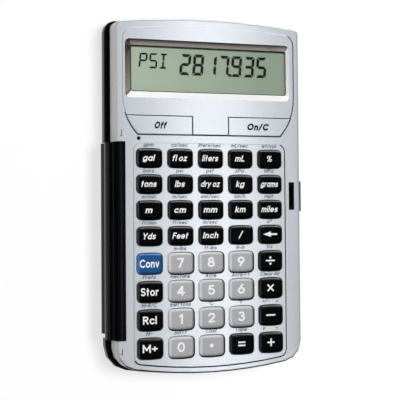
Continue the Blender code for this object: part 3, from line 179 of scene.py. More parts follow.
# The small words over the keys, row by row
LEGENDS = {
    "gallon": "gpm", "fluid_ounce": "oz/sec", "liter": "liters/sec", "milliliter": "mL/sec",
    "percent": "wt/vol",
    "ton": "bars", "pound": "psi", "dry_ounce": "psf", "kilogram": "kPa", "gram": "MPa",
    "meter": "m/min", "centimeter": "m/sec", "millimeter": "mm/sec", "kilometer": "km/h", "mile": "mph",
    "yard": "ft/min", "foot": "ft/sec", "inch": "in/sec", "backspace": "x²",
    "digit_7": "in-lbs", "digit_8": "ft-lbs", "digit_9": "N-m", "divide": "1/x",
    "store": "Prefs", "digit_4": "Hectare", "digit_5": "Acre", "digit_6": "Acre-Ft",
    "multiply": "Clear All",
    "recall": "M-R/C", "digit_1": "met tons", "digit_2": "°C", "digit_3": "°F", "minus": "+/−      ▲",
    "memory_plus": "M−", "digit_0": "Bd Ft", "decimal_point": "Cost", "equals": "Tape",
    "plus": "π          ▼",
}

# Display characters, in millimetres, from bars named by the letters of their places
LCD_DIGITS = "2817.935"
DIGIT_SEGMENTS = {
    "1": "bc", "2": "abdeg", "3": "abcdg", "5": "acdfg", "7": "abc", "8": "abcdefg", "9": "abcdfg",
    "P": "abefg", "S": "acdfg", "I": "adil",
}
SEGMENT_SLANT = 0.09
SEGMENT_GAP_SHARE = 0.03  # of the stroke, between two bars
SEGMENT_REACH_SHARE = 0.5  # of half the stroke, past the corner of the centre lines
POINT_PLACE_SHARE = 1.05  # of the stroke, from a figure's right side to the point after it
LCD_DIGIT_PLACE = (-10.8, 49.15)
LCD_DIGIT_SIZE = (3.4, 7.35)
LCD_DIGIT_PITCH = 5.51
LCD_DIGIT_STROKE = 1.22
LCD_UNIT = "PSI"
LCD_UNIT_PLACE = (-28.0, 51.15)
LCD_UNIT_SIZE = (2.65, 5.35)
LCD_UNIT_PITCH = 4.2
LCD_UNIT_STROKE = 0.74


# Materials


def srgb(red, green, blue):
    """A colour from its eight-bit display values, as linear light."""
    share = np.array([red, green, blue]) / 255
    return (*np.where(share <= 0.04045, share / 12.92, ((share + 0.055) / 1.055) ** 2.4), 1.0)


def add_node(tree, kind, values=(), **settings):
    made = tree.nodes.new("ShaderNode" + kind)
    for label, value in dict(values).items():
        made.inputs[label].default_value = value
    for label, value in settings.items():
        setattr(made, label, value)
    return made


def new_group(name, inputs, outputs):
    """An empty shader group with named sockets, and its two ends."""
    tree = bpy.data.node_groups.new(name, "ShaderNodeTree")
    for label, kind, value in inputs:
        made = tree.interface.new_socket(label, in_out="INPUT", socket_type="NodeSocket" + kind)
        made.default_value = value
    for label, kind in outputs:
        tree.interface.new_socket(label, in_out="OUTPUT", socket_type="NodeSocket" + kind)
    return tree, tree.nodes.new("NodeGroupInput"), tree.nodes.new("NodeGroupOutput")


def worked(tree, operation, *inputs):
    """A Math node's result; each input is a socket or a number."""
    made = add_node(tree, "Math", operation=operation)
    for place, value in enumerate(inputs):
        if isinstance(value, bpy.types.NodeSocket):
            tree.links.new(value, made.inputs[place])
        else:
            made.inputs[place].default_value = value
    return made.outputs[0]


def scale_colour(tree, colour, factor, target):
    """The target socket gets the colour times the factor."""
    scaled = add_node(tree, "VectorMath", operation="SCALE")
    tree.links.new(colour, scaled.inputs[0])
    tree.links.new(factor, scaled.inputs["Scale"])
    tree.links.new(scaled.outputs[0], target)


def pattern(tree, start, kind, values=()):
    """A texture on object coordinates, at the scale that the group is given."""
    made = add_node(tree, kind, values)
    tree.links.new(add_node(tree, "TexCoord").outputs["Object"], made.inputs["Vector"])
    tree.links.new(start.outputs["Scale"], made.inputs["Scale"])
    return made


def drift_group():
    """Colour times one plus Amount times slow noise between minus one and one."""
    tree, start, end = new_group("slow_colour_drift", (
        ("Colour", "Color", (0.5, 0.5, 0.5, 1.0)), ("Scale", "Float", 60.0), ("Amount", "Float", 0.05)),
        (("Colour", "Color"),))
    noise = pattern(tree, start, "TexNoise", {"Detail": 3.0, "Roughness": 0.6})
    centred = worked(tree, "SUBTRACT", noise.outputs["Fac"], 0.5)
    swing = worked(tree, "MULTIPLY", centred, start.outputs["Amount"])
    factor = worked(tree, "MULTIPLY_ADD", swing, 2.0, 1.0)
    scale_colour(tree, start.outputs["Colour"], factor, end.inputs["Colour"])
    return tree


def grain_group():
    """Fine moulded texture: Height for a bump, and Roughness varied by the same noise."""
    tree, start, end = new_group("moulded_grain", (
        ("Scale", "Float", 3000.0), ("Roughness", "Float", 0.4), ("Spread", "Float", 0.05)),
        (("Height", "Float"), ("Roughness", "Float")))
    noise = pattern(tree, start, "TexNoise", {"Detail": 2.0})
    centred = worked(tree, "SUBTRACT", noise.outputs["Fac"], 0.5)
    varied = worked(tree, "MULTIPLY_ADD", centred, start.outputs["Spread"], start.outputs["Roughness"])
    tree.links.new(noise.outputs["Fac"], end.inputs["Height"])
    tree.links.new(varied, end.inputs["Roughness"])
    return tree


def flake_group():
    """Colour brightened or darkened cell by cell, as by the flakes in a metallic paint."""
    tree, start, end = new_group("metal_flake", (
        ("Colour", "Color", (0.5, 0.5, 0.5, 1.0)), ("Scale", "Float", 9000.0), ("Amount", "Float", 0.15)),
        (("Colour", "Color"),))
    cells = pattern(tree, start, "TexVoronoi")
    level = add_node(tree, "RGBToBW")
    tree.links.new(cells.outputs["Color"], level.inputs[0])
    centred = worked(tree, "SUBTRACT", level.outputs[0], 0.5)
    factor = worked(tree, "MULTIPLY_ADD", centred, start.outputs["Amount"], 1.0)
    scale_colour(tree, start.outputs["Colour"], factor, end.inputs["Colour"])
    return tree


DRIFT = drift_group()
GRAIN = grain_group()
FLAKE = flake_group()


def place_group(tree, group, values):
    made = tree.nodes.new("ShaderNodeGroup")
    made.node_tree = group
    for label, value in values.items():
        made.inputs[label].default_value = value
    return made


def moulded(name, colour, roughness, drift=0.06, drift_scale=60.0, grain=0.12, grain_scale=3000.0,
            spread=0.08, **settings):
    """A moulded finish: colour with a slow drift, and roughness and bump from fine grain."""
    made = bpy.data.materials.new(name)
    made.use_nodes = True
    tree = made.node_tree
    shader = tree.nodes["Principled BSDF"]
    for label, value in settings.items():
        shader.inputs[label.replace("_", " ")].default_value = value
    varied = place_group(tree, DRIFT, {"Colour": colour, "Scale": drift_scale, "Amount": drift})
    fine = place_group(tree, GRAIN, {"Scale": grain_scale, "Roughness": roughness, "Spread": spread})
    bump = add_node(tree, "Bump", {"Strength": grain, "Distance": BUMP_DEPTH})
    tree.links.new(varied.outputs["Colour"], shader.inputs["Base Color"])
    tree.links.new(fine.outputs["Roughness"], shader.inputs["Roughness"])
    tree.links.new(fine.outputs["Height"], bump.inputs["Height"])
    tree.links.new(bump.outputs["Normal"], shader.inputs["Normal"])
    return made


def silver_paint():
    """Flake paint on moulded plastic: its cells vary the colour."""
    made = moulded("silver_paint", srgb(210, 215, 221), 0.2, drift=0.03, grain=0.05, grain_scale=1800.0,
                   Metallic=0.5)
    tree = made.node_tree
    shader = tree.nodes["Principled BSDF"]
    source = shader.inputs["Base Color"].links[0].from_socket
    flake = place_group(tree, FLAKE, {"Scale": 7000.0, "Amount": 0.22})
    tree.links.new(source, flake.inputs["Colour"])
    tree.links.new(flake.outputs["Colour"], shader.inputs["Base Color"])
    return made


def ramped(material, axis, low, high, start, end):
    """The base colour times a factor that goes from start, at low millimetres on an axis, to end, at high."""
    tree = material.node_tree
    shader = tree.nodes["Principled BSDF"]
    colour = shader.inputs["Base Color"].links[0].from_socket
    apart = add_node(tree, "SeparateXYZ")
    ramp = add_node(tree, "MapRange", {
        "From Min": low * MM, "From Max": high * MM, "To Min": start, "To Max": end})
    tree.links.new(add_node(tree, "TexCoord").outputs["Object"], apart.inputs[0])
    tree.links.new(apart.outputs[axis], ramp.inputs["Value"])
    scale_colour(tree, colour, ramp.outputs[0], shader.inputs["Base Color"])


SILVER = silver_paint()
# Painted shade on the window's left and upper walls: brighter down the left wall, and darker towards the
# upper wall's outer edge as a painted shadow
WALL_PAINTED_SHADE = moulded("window_wall_painted_shade", srgb(180, 170, 166), 0.2, drift=0.04, grain=0.03, Metallic=1.0)
ramped(WALL_PAINTED_SHADE, "Y", low=41.0, high=59.7, start=1.7, end=1.0)
ramped(WALL_PAINTED_SHADE, "Y", low=60.4, high=61.6, start=1.0, end=0.2)
# The window's right and lower walls: a white copy of the wall, painted light
WALL_PAINTED_LIGHT = moulded("window_wall_painted_light", srgb(250, 250, 250), 0.45, drift=0.02, grain=0.03)
# The left side wall: a darker copy of the silver, painted shade
SIDE_SILVER_PAINTED_SHADE = moulded("silver_side_painted_shade", srgb(176, 174, 170), 0.4, drift=0.03, grain=0.05, Metallic=0.3)
# Black for painted shade: lines at shaded steps and edges, rims round the keys, the band round the display
SHADE_BLACK = moulded("black_painted_shade", srgb(6, 7, 9), 0.4, drift=0.1, grain=0.03, Specular_IOR_Level=0.1)
BLACK_GLOSS = moulded("black_gloss", srgb(2, 2, 3), 0.14, drift=0.15, grain=0.03, grain_scale=900.0,
                      Specular_IOR_Level=0.12)
BACK_BLACK = moulded("back_black", srgb(24, 24, 26), 0.5, drift=0.1, grain=0.5, grain_scale=2200.0)
KEY_BLACK = moulded("key_black", srgb(2, 2, 3), 0.3, drift=0.1, grain=0.03, grain_scale=1500.0,
                    Specular_IOR_Level=0.04)
KEY_GREY = moulded("key_grey", srgb(176, 176, 178), 0.42, drift=0.03, grain=0.15)
KEY_BLUE = moulded("key_blue", srgb(22, 78, 136), 0.28, drift=0.05, grain=0.04, Specular_IOR_Level=0.2)
# Glossier copies of the caps' finishes, the grey and blue ones lighter too, for the upper and left shoulders
# alone: painted highlights
HIGHLIGHT_GLOSS = {"roughness": 0.22, "grain": 0.03, "Specular_IOR_Level": 1.0}
KEY_PAINTED_HIGHLIGHTS = {
    KEY_BLACK: moulded("key_black_painted_highlight", srgb(2, 2, 3), drift=0.1, **HIGHLIGHT_GLOSS),
    KEY_GREY: moulded("key_grey_painted_highlight", srgb(206, 206, 208), drift=0.03, **HIGHLIGHT_GLOSS),
    KEY_BLUE: moulded("key_blue_painted_highlight", srgb(42, 100, 158), drift=0.05, **HIGHLIGHT_GLOSS),
}
INK = {"roughness": 0.5, "grain": 0.05, "Specular_IOR_Level": 0.2}
PRINT_WHITE = moulded("white_print", srgb(250, 250, 250), drift=0.02, **INK)
# Dark print, also used for the painted shadows of two small pips
DARK_PRINT_AND_SHADOW = moulded("dark_print_and_painted_shadow", srgb(12, 14, 20), drift=0.05, **INK)
PRINT_BLUE = moulded("blue_print", srgb(44, 56, 100), drift=0.08, **INK)
LCD_GREEN = moulded("display_green", srgb(185, 203, 179), 0.35, drift=0.02, grain=0.02)
# The display's green grows darker towards its right side
ramped(LCD_GREEN, "X", low=-31.0, high=34.0, start=1.0, end=0.68)
LCD_DARK = moulded("liquid_crystal", srgb(2, 3, 3), 0.35, drift=0.1, grain=0.02, Specular_IOR_Level=0.2)
LENS = moulded("clear_lens", srgb(30, 34, 31), 0.05, drift=0.02, grain=0.01, spread=0.02, Alpha=0.06)
RUBBER = moulded("keypad_rubber", srgb(120, 120, 118), 0.75, drift=0.04, grain=0.3, grain_scale=1600.0)
ZEBRA = moulded("zebra_rubber", srgb(214, 170, 172), 0.7, drift=0.05, grain=0.2)
BOARD = moulded("board_green", srgb(30, 96, 56), 0.4, drift=0.12, drift_scale=220.0, grain=0.15)
STEEL = moulded("bright_steel", srgb(196, 196, 198), 0.28, drift=0.05, grain=0.06, Metallic=1.0)


# Shapes


def new_object(name, data):
    made = bpy.data.objects.new(name, data)
    bpy.context.scene.collection.objects.link(made)
    return made


def new_piece(name, points, faces, material, body, smooth=True):
    """A mesh object in place, riding on its body."""
    mesh = bpy.data.meshes.new(name)
    mesh.from_pydata(points, [], faces)
    mesh.materials.append(material)
    mesh.polygons.foreach_set("use_smooth", np.full(len(mesh.polygons), smooth))
    made = new_object(name, mesh)
    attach(made, body)
    return made


def loft(rings):
    """Quads between rings of equal length stacked as rows, with a fan to a pole at each end."""
    rows, count = rings.shape[:2]
    column = np.arange(count)
    across = np.roll(column, -1)
    row = np.arange(rows - 1)[:, None] * count
    quads = np.stack([row + column, row + across, row + across + count, row + column + count], axis=-1)
    first, last = rows * count, rows * count + 1
    start = np.c_[np.full(count, first), across, column]
    end = np.c_[np.full(count, last), column + first - count, across + first - count]
    points = np.vstack([rings.reshape(-1, 3), rings[0].mean(0), rings[-1].mean(0)])
    return points, quads.reshape(-1, 4).tolist() + start.tolist() + end.tolist()


def key_ring(half_x, half_y, inset):
    """A rounded rectangle drawn in by an inset, its long sides bowed out as one minus x squared."""
    radius = max(KEY_CORNER - inset, KEY_CORNER / 4)
    quarter = np.linspace(0, math.pi / 2, CORNER_STEPS)
    angle = (quarter + np.arange(4)[:, None] * math.pi / 2).ravel()
    quadrants = np.repeat([(1, 1), (-1, 1), (-1, -1), (1, -1)], CORNER_STEPS, axis=0)
    corners = quadrants * (half_x - inset - radius, half_y - inset - radius)
    corners = corners + radius * np.c_[np.cos(angle), np.sin(angle)]
    arcs = corners.reshape(4, CORNER_STEPS, 2)
    following = np.roll(arcs[:, 0], -1, axis=0)
    share = np.linspace(0, 1, SIDE_STEPS + 1)[1:-1, None]
    sides = arcs[:, -1, None] + (following - arcs[:, -1])[:, None] * share
    points = np.concatenate([arcs, sides], axis=1).reshape(-1, 2)
    points[:, 1] += KEY_BULGE * points[:, 1] / half_y * (1 - (points[:, 0] / half_x) ** 2)
    return points


def cut_corners(points):
    """Corner cutting, twice over: each corner gives way to two points a quarter along its sides."""
    for _ in range(2):
        near = points[:-1] * 0.75 + points[1:] * 0.25
        far = points[:-1] * 0.25 + points[1:] * 0.75
        middle = np.stack([near, far], axis=1).reshape(-1, 2)
        points = np.vstack([points[:1], middle[1:-1], points[-1:]])
    return points


def solid_size(node):
    """A small key's centre, and the half sizes of the part of its solid that stands in the moulded hole."""
    low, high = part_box(node)
    return (low + high) / 2, (high.x - low.x) / 2, (high.y - low.y) / 2 - KEY_FLANGE - KEY_BULGE


def cap_size(node):
    """The centre, the half sizes and the top of a small key's cap, whose print ends level with its solid."""
    centre, half_x, half_y = solid_size(node)
    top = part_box(node)[1].z - PRINT_DEPTH * MM
    return centre + Vector(CAP_SHIFT), half_x - CAP_INSET[0], half_y - CAP_INSET[1], top


def crown(x, y, half_x, half_y):
    """How far a cap's top lies under its middle: a paraboloid of the place's shares of the half sizes."""
    return CAP_CROWN * ((x / half_x) ** 2 + (y / half_y) ** 2)


def keycap(node, material):
    """A cap from its foot in the case up a drafted wall and a sloping shoulder to a crowned top."""
    centre, half_x, half_y, top = cap_size(node)
    profile = cut_corners(np.array([
        (0.0, FACE_Z - CAP_FOOT - top), (0.0, FACE_Z - top), (CAP_DRAFT, -CAP_SLOPE_DEPTH),
        (CAP_DRAFT + CAP_SLOPE_WIDTH, 0.0), (CAP_DRAFT + CAP_SLOPE_WIDTH + CAP_LAND, 0.0)]))
    flat_rings = [key_ring(half_x, half_y, inset) for inset in profile[:, 0]]
    flat_rings += [flat_rings[-1] * share for share in TOP_SHARES]
    heights = np.r_[profile[:, 1], np.zeros(len(TOP_SHARES))]
    rings = np.dstack([np.array(flat_rings), np.repeat(heights[:, None], len(flat_rings[0]), axis=1)])
    rings[..., 2] -= crown(rings[..., 0], rings[..., 1], half_x, half_y)
    points, faces = loft(rings)
    points += (centre.x, centre.y, top)
    made = new_piece("cap_" + node.removeprefix("key_"), points, faces, material, node)
    # The upper and left shoulders take the glossier copy: painted highlights
    made.data.materials.append(KEY_PAINTED_HIGHLIGHTS[material])
    for face in made.data.polygons:
        face.material_index = int(face.normal.y > SIDEWAYS or face.normal.x < -SIDEWAYS)
    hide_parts(node)


def finished(node, name, width, material, body):
    """The node's solid with its faces joined and its edges rounded by the given width."""
    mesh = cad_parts[node].data.copy()
    shape = bmesh.new()
    shape.from_mesh(mesh)
    bmesh.ops.remove_doubles(shape, verts=shape.verts, dist=MERGE_DISTANCE)
    bmesh.ops.dissolve_limit(shape, angle_limit=JOINED_ANGLE, verts=shape.verts, edges=shape.edges)
    for face in shape.faces:
        face.smooth = True
        face.material_index = 0
    shape.to_mesh(mesh)
    shape.free()
    mesh.name = name
    mesh.materials.clear()
    mesh.materials.append(material)
    made = new_object(name, mesh)
    rounding = made.modifiers.new("rounded_edges", "BEVEL")
    rounding.width = width
    rounding.segments = 2
    rounding.limit_method = "ANGLE"
    rounding.angle_limit = SHARP_ANGLE
    made.modifiers.new("weighted_normals", "WEIGHTED_NORMAL")
    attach(made, body)
    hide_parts(node)
    return made


def display_border(shell):
    """A thin dark band on the lens along the foot of the window's walls: partly the display's dark outline,
    partly painted shadow of the walls.
    """
    points = []
    for face in shell.data.polygons:
        if face.material_index in (WALL_SHADE_SLOT, WALL_LIGHT_SLOT):
            points += [shell.data.vertices[corner].co for corner in face.vertices]
    foot = min(point.z for point in points)
    outline = rounded_hull(np.array([point[:2] for point in points if point.z < foot + LEVEL_BAND]))
    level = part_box("display_lens")[1].z
    made = collar(outline, grown(outline, -BORDER_SHADOW_WIDTH), PRINT_DEPTH * MM, level)
    new_piece("display_border", *made, SHADE_BLACK, "case", smooth=False)


def side_wall(shell):
    """The shell's upright left side and its rounding are a darker silver than the face: painted shade."""
    shell.data.materials.append(SIDE_SILVER_PAINTED_SHADE)
    shaded_side = len(shell.data.materials) - 1
    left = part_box("front_shell")[0].x
    for face in shell.data.polygons:
        if face.normal.x < -SIDEWAYS and face.center.x < left + SIDE_DEPTH:
            face.material_index = shaded_side


def window_walls(shell):
    """The walls that slope down to the lens, as lit and shaded copies: white on the right and below, painted
    light; dim metal on the left and above, painted shade.
    """
    low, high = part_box("display_lens")
    shell.data.materials.append(WALL_PAINTED_SHADE)
    shell.data.materials.append(WALL_PAINTED_LIGHT)
    for face in shell.data.polygons:
        x, y, z = face.center
        across = low.x - WINDOW_SLOPE < x < high.x + WINDOW_SLOPE
        along = low.y - WINDOW_SLOPE < y < high.y + WINDOW_SLOPE
        if across and along and FACE_Z - WINDOW_DEPTH < z < FACE_Z and face.normal.z > 0:
            white = face.normal.x < -STEEP or (face.normal.y > SIDEWAYS and face.normal.x < SIDEWAYS)
            face.material_index = WALL_LIGHT_SLOT if white else WALL_SHADE_SLOT


def dark_lines(shell):
    """The panels' steps to the right and below, and the face's rounding along its lower end, are black:
    painted shade on the sides turned from the light.
    """
    shell.data.materials.append(SHADE_BLACK)
    dark = len(shell.data.materials) - 1
    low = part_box("front_shell")[0]
    shape = bmesh.new()
    shape.from_mesh(shell.data)
    end = [face for face in shape.faces if face.calc_center_median().y < low.y + LOWER_END
           and FACE_Z - FACE_EDGE < face.calc_center_median().z < FACE_Z - RIM_CUT / 2]
    near = {part for face in end for part in (*face.verts, *face.edges, face)}
    bmesh.ops.bisect_plane(shape, geom=list(near), plane_co=(0, 0, FACE_Z - RIM_CUT), plane_no=(0, 0, 1))
    shape.to_mesh(shell.data)
    shape.free()
    for face in shell.data.polygons:
        y, z = face.center.yz
        turned = face.normal
        step = FACE_Z < z < PANEL_TOP and (turned.x > SIDEWAYS or turned.y < -SIDEWAYS)
        outside = turned.z > UPWARD and turned.y < -OUTWARD and turned.x > -SIDEWAYS
        if step or (outside and y < low.y + LOWER_END and FACE_Z - FACE_EDGE < z < FACE_Z - RIM_CUT):
            face.material_index = dark


def grown(outline, width):
    """A counter-clockwise convex outline moved out: each corner goes along the sum of its sides' normals."""
    along = np.roll(outline, -1, axis=0) - outline
    along /= np.linalg.norm(along, axis=1)[:, None]
    after = np.c_[along[:, 1], -along[:, 0]]
    before = np.roll(after, 1, axis=0)
    return outline + (before + after) * (width / (1 + (before * after).sum(1)))[:, None]


def collar(outer, inner, depth, level):
    """A thin closed band between two outlines of equally many points: four rings joined round both ways."""
    flat = np.array([outer, outer, inner, inner])
    rise = np.broadcast_to(level + np.array([0, 1, 1, 0])[:, None] * depth, flat.shape[:2])
    corner = np.arange(flat[..., 0].size).reshape(flat.shape[:2])
    nearby, above = np.roll(corner, -1, axis=1), np.roll(corner, -1, axis=0)
    faces = np.stack([corner, nearby, np.roll(above, -1, axis=1), above], axis=-1)
    return np.dstack([flat, rise]).reshape(-1, 3), faces.reshape(-1, 4).tolist()


def gathered(parts):
    """Several shapes' points and faces as one shape's."""
    points, faces, start = [], [], 0
    for some, theirs in parts:
        points.append(some)
        faces += [[start + corner for corner in face] for face in theirs]
        start += len(some)
    return np.vstack(points), faces


def top_outline(node):
    """The outline of a wide key's top, from its own mesh."""
    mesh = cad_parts[node].data
    points = np.empty(len(mesh.vertices) * 3)
    mesh.vertices.foreach_get("co", points)
    points = points.reshape(-1, 3)
    return rounded_hull(points[points[:, 2] > points[:, 2].max() - LEVEL_BAND, :2])


def rounded_hull(flat):
    """The convex outline of some points, counter-clockwise, without doubled corners."""
    outline = flat[convex_hull_2d([Vector(point) for point in flat])]
    _, kept = np.unique((outline / SAME_PLACE).round(), axis=0, return_index=True)
    outline = outline[np.sort(kept)]
    area = (outline[:, 0] * np.roll(outline[:, 1], -1) - np.roll(outline[:, 0], -1) * outline[:, 1]).sum()
    return outline if area > 0 else outline[::-1]


def wells():
    """A silver overlay that narrows each moulded hole to its cap, and a black rim of painted shade round the
    gap, wider right and below as a painted key shadow.
    """
    overlays, rims = [], []
    for node in sorted(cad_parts):
        if node in WIDE_KEYS:
            outline = top_outline(node)
            inner, outer = grown(outline, WELL_GAP), grown(outline, WELL_GAP + RIM_WIDTH)
            rims.append(collar(outer, inner, PRINT_DEPTH * MM, PANEL_TOP))
        elif node.startswith("key_"):
            pale = node in GREY_KEYS
            width = RIM_WIDTH if pale else THIN_RIM_WIDTH
            shift = RIM_SHADOW_SHIFT if pale else THIN_RIM_SHADOW_SHIFT
            centre, half_x, half_y, _ = cap_size(node)
            opening = key_ring(half_x, half_y, -KEY_GAP) + (centre.x, centre.y)
            rim = key_ring(half_x, half_y, -KEY_GAP - width) + (centre.x, centre.y) + shift
            centre, half_x, half_y = solid_size(node)
            hole = key_ring(half_x + WELL_GAP, half_y + WELL_GAP, -OVERLAY_LAP) + (centre.x, centre.y)
            middle = OVERLAY_DEPTH / 2
            overlays.append(collar(hole, opening, OVERLAY_DEPTH, PANEL_TOP))
            rims.append(collar(rim, opening, PRINT_DEPTH * MM - middle, PANEL_TOP + middle))
    new_piece("key_well_overlay", *gathered(overlays), SILVER, "case", smooth=False)
    new_piece("key_well_rims_painted_shadow", *gathered(rims), SHADE_BLACK, "case", smooth=False)


def panel_lines():
    """A black line at the panels' right and lower steps, a painted shadow: each foot edge, moved out along
    its normals.
    """
    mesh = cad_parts["front_shell"].data
    edges, outward = {}, {}
    for face in mesh.polygons:
        foot = [corner for corner in face.vertices if abs(mesh.vertices[corner].co.z - FACE_Z) < SAME_PLACE]
        turned = face.normal
        upright = abs(turned.z) < SIDEWAYS and FACE_Z < face.center.z < PANEL_TOP
        if len(foot) == 2 and upright and (turned.x > SIDEWAYS or turned.y < -SIDEWAYS):
            ends = [tuple(np.round(np.array(mesh.vertices[corner].co[:2]) / MM, 3)) for corner in foot]
            edges[tuple(sorted(ends))] = turned
            for end in ends:
                outward.setdefault(end, []).append((turned.x, turned.y))
    outlines = []
    for (start, end), turned in edges.items():
        if (end[0] - start[0]) * turned.y - (end[1] - start[1]) * turned.x > 0:
            start, end = end, start
        corners = []
        for place in (end, start):
            mean = np.mean(outward[place], axis=0)
            corners.append(np.array(place) + mean / (mean @ mean) ** 0.5 * SHADOW_LINE_WIDTH)
        outlines.append(np.array([start, end, corners[0], corners[1]])[::-1])
    points, faces = film(outlines)
    new_piece("panel_painted_shadow_lines", points * MM + (0, 0, FACE_Z), faces, SHADE_BLACK, "case", smooth=False)


# Lettering


def bow(x, y, half_width, half_height, start, end):
    """Points of an ellipse's arc between two angles in degrees."""
    angle = np.linspace(start, end, int(abs(end - start) / ARC_STEP) + 2) * DEGREE
    return np.c_[x + half_width * np.cos(angle), y + half_height * np.sin(angle)]


def ring(x, y, half_width, half_height):
    return [bow(x, y, half_width, half_height, 0, 180), bow(x, y, half_width, half_height, 180, 360)]


def line(*points):
    return np.array(points, float)


def small_letters():
    """The centre lines of the small letters' strokes, in capitals' heights, with each letter's width."""
    top, half, bowl = LOWER, LOWER / 2, 0.28
    right = bowl * 2
    arch = np.vstack([line((0, 0)), bow(0.22, top - 0.22, 0.22, 0.22, 180, 0), line((0.44, 0))])
    narrow = np.vstack([line((0, 0)), bow(0.19, top - 0.19, 0.19, 0.19, 180, 0), line((0.38, 0))])
    hook = np.vstack([line((right, top)), bow(bowl, TAIL + 0.22, bowl, 0.22, 0, -155)])
    upper_curl = bow(0.21, top * 0.75, 0.21, top / 4, 35, 270)
    curl = np.vstack([upper_curl, bow(0.21, top / 4, 0.21, top / 4, 90, -145)])
    crook = np.vstack([line((0.1, 0)), bow(0.3, 0.8, 0.2, 0.2, 180, 95)])
    round_bowl = ring(bowl, half, bowl, half)
    return {
        "a": (right, round_bowl + [line((right, 0), (right, top))]),
        "b": (right, round_bowl + [line((0, 0), (0, 1))]),
        "c": (right * 0.85, [bow(bowl, half, bowl, half, 45, 315)]),
        "d": (right, round_bowl + [line((right, 0), (right, 1))]),
        "e": (right, [bow(bowl, half, bowl, half, 0, 318), line((0, half), (right, half))]),
        "f": (0.3, [crook, line((0, top), (0.26, top))]),
        "g": (right, round_bowl + [hook]),
        "h": (0.44, [line((0, 0), (0, 1)), arch]),
        "i": (0.0, [line((0, 0), (0, top)), line((0, 0.99), (0, 1))]),
        "k": (0.42, [line((0, 0), (0, 1)), line((0.05, half * 0.8), (0.36, top)),
                     line((0.14, half), (0.42, 0))]),
        "l": (0.0, [line((0, 0), (0, 1))]),
        "m": (0.76, [line((0, 0), (0, top)), narrow, narrow + (0.38, 0)]),
        "n": (0.44, [line((0, 0), (0, top)), arch]),
        "o": (right, round_bowl),
        "p": (right, round_bowl + [line((0, TAIL), (0, top))]),
        "r": (0.24, [line((0, 0), (0, top)), bow(0.24, top - 0.24, 0.24, 0.24, 180, 85)]),
        "s": (0.42, [curl]),
        "t": (0.28, [line((0.12, 0), (0.12, 0.95)), line((0, top), (0.26, top))]),
        "v": (0.48, [line((0, top), (0.24, 0), (0.48, top))]),
        "w": (0.76, [line((0, top), (0.19, 0), (0.38, top), (0.57, 0), (0.76, top))]),
        "x": (0.42, [line((0, top), (0.42, 0)), line((0.42, top), (0, 0))]),
        "y": (0.5, [line((0, top), (0.26, 0.02)), line((0.5, top), (0.12, TAIL))]),
        "z": (0.42, [line((0, top), (0.42, top), (0, 0), (0.42, 0))]),
        "π": (0.5, [line((0, top), (0.5, top)), line((0.12, 0), (0.12, top)), line((0.4, 0), (0.4, top))]),
    }


def capitals():
    """The same for the capitals."""
    loop = np.vstack([line((0, 1), (0.3, 1)), bow(0.3, 0.75, 0.24, 0.25, 90, -90), line((0, 0.5))])
    low_loop = np.vstack([line((0, 0.5), (0.32, 0.5)), bow(0.32, 0.25, 0.26, 0.25, 90, -90), line((0, 0))])
    stem = line((0, 0), (0, 1))
    curl = np.vstack([bow(0.27, 0.75, 0.27, 0.25, 35, 270), bow(0.27, 0.25, 0.29, 0.25, 90, -145)])
    return {
        "A": (0.68, [line((0, 0), (0.34, 1), (0.68, 0)), line((0.14, 0.32), (0.54, 0.32))]),
        "B": (0.58, [stem, loop, low_loop]),
        "C": (0.74, [bow(0.45, 0.5, 0.45, 0.5, 50, 310)]),
        "F": (0.46, [stem, line((0, 1), (0.46, 1)), line((0, 0.52), (0.38, 0.52))]),
        "H": (0.6, [stem, line((0.6, 0), (0.6, 1)), line((0, 0.5), (0.6, 0.5))]),
        "I": (0.0, [stem]),
        "L": (0.42, [line((0, 1), (0, 0), (0.42, 0))]),
        "M": (0.78, [stem, line((0.78, 0), (0.78, 1)), line((0, 1), (0.39, 0.3), (0.78, 1))]),
        "N": (0.6, [stem, line((0.6, 0), (0.6, 1)), line((0, 1), (0.6, 0))]),
        "O": (0.9, ring(0.45, 0.5, 0.45, 0.5)),
        "P": (0.54, [stem, loop]),
        "R": (0.56, [stem, loop, line((0.26, 0.5), (0.56, 0))]),
        "S": (0.56, [curl]),
        "T": (0.56, [line((0, 1), (0.56, 1)), line((0.28, 0), (0.28, 1))]),
        "Y": (0.64, [line((0, 1), (0.32, 0.45), (0.64, 1)), line((0.32, 0), (0.32, 0.45))]),
    }


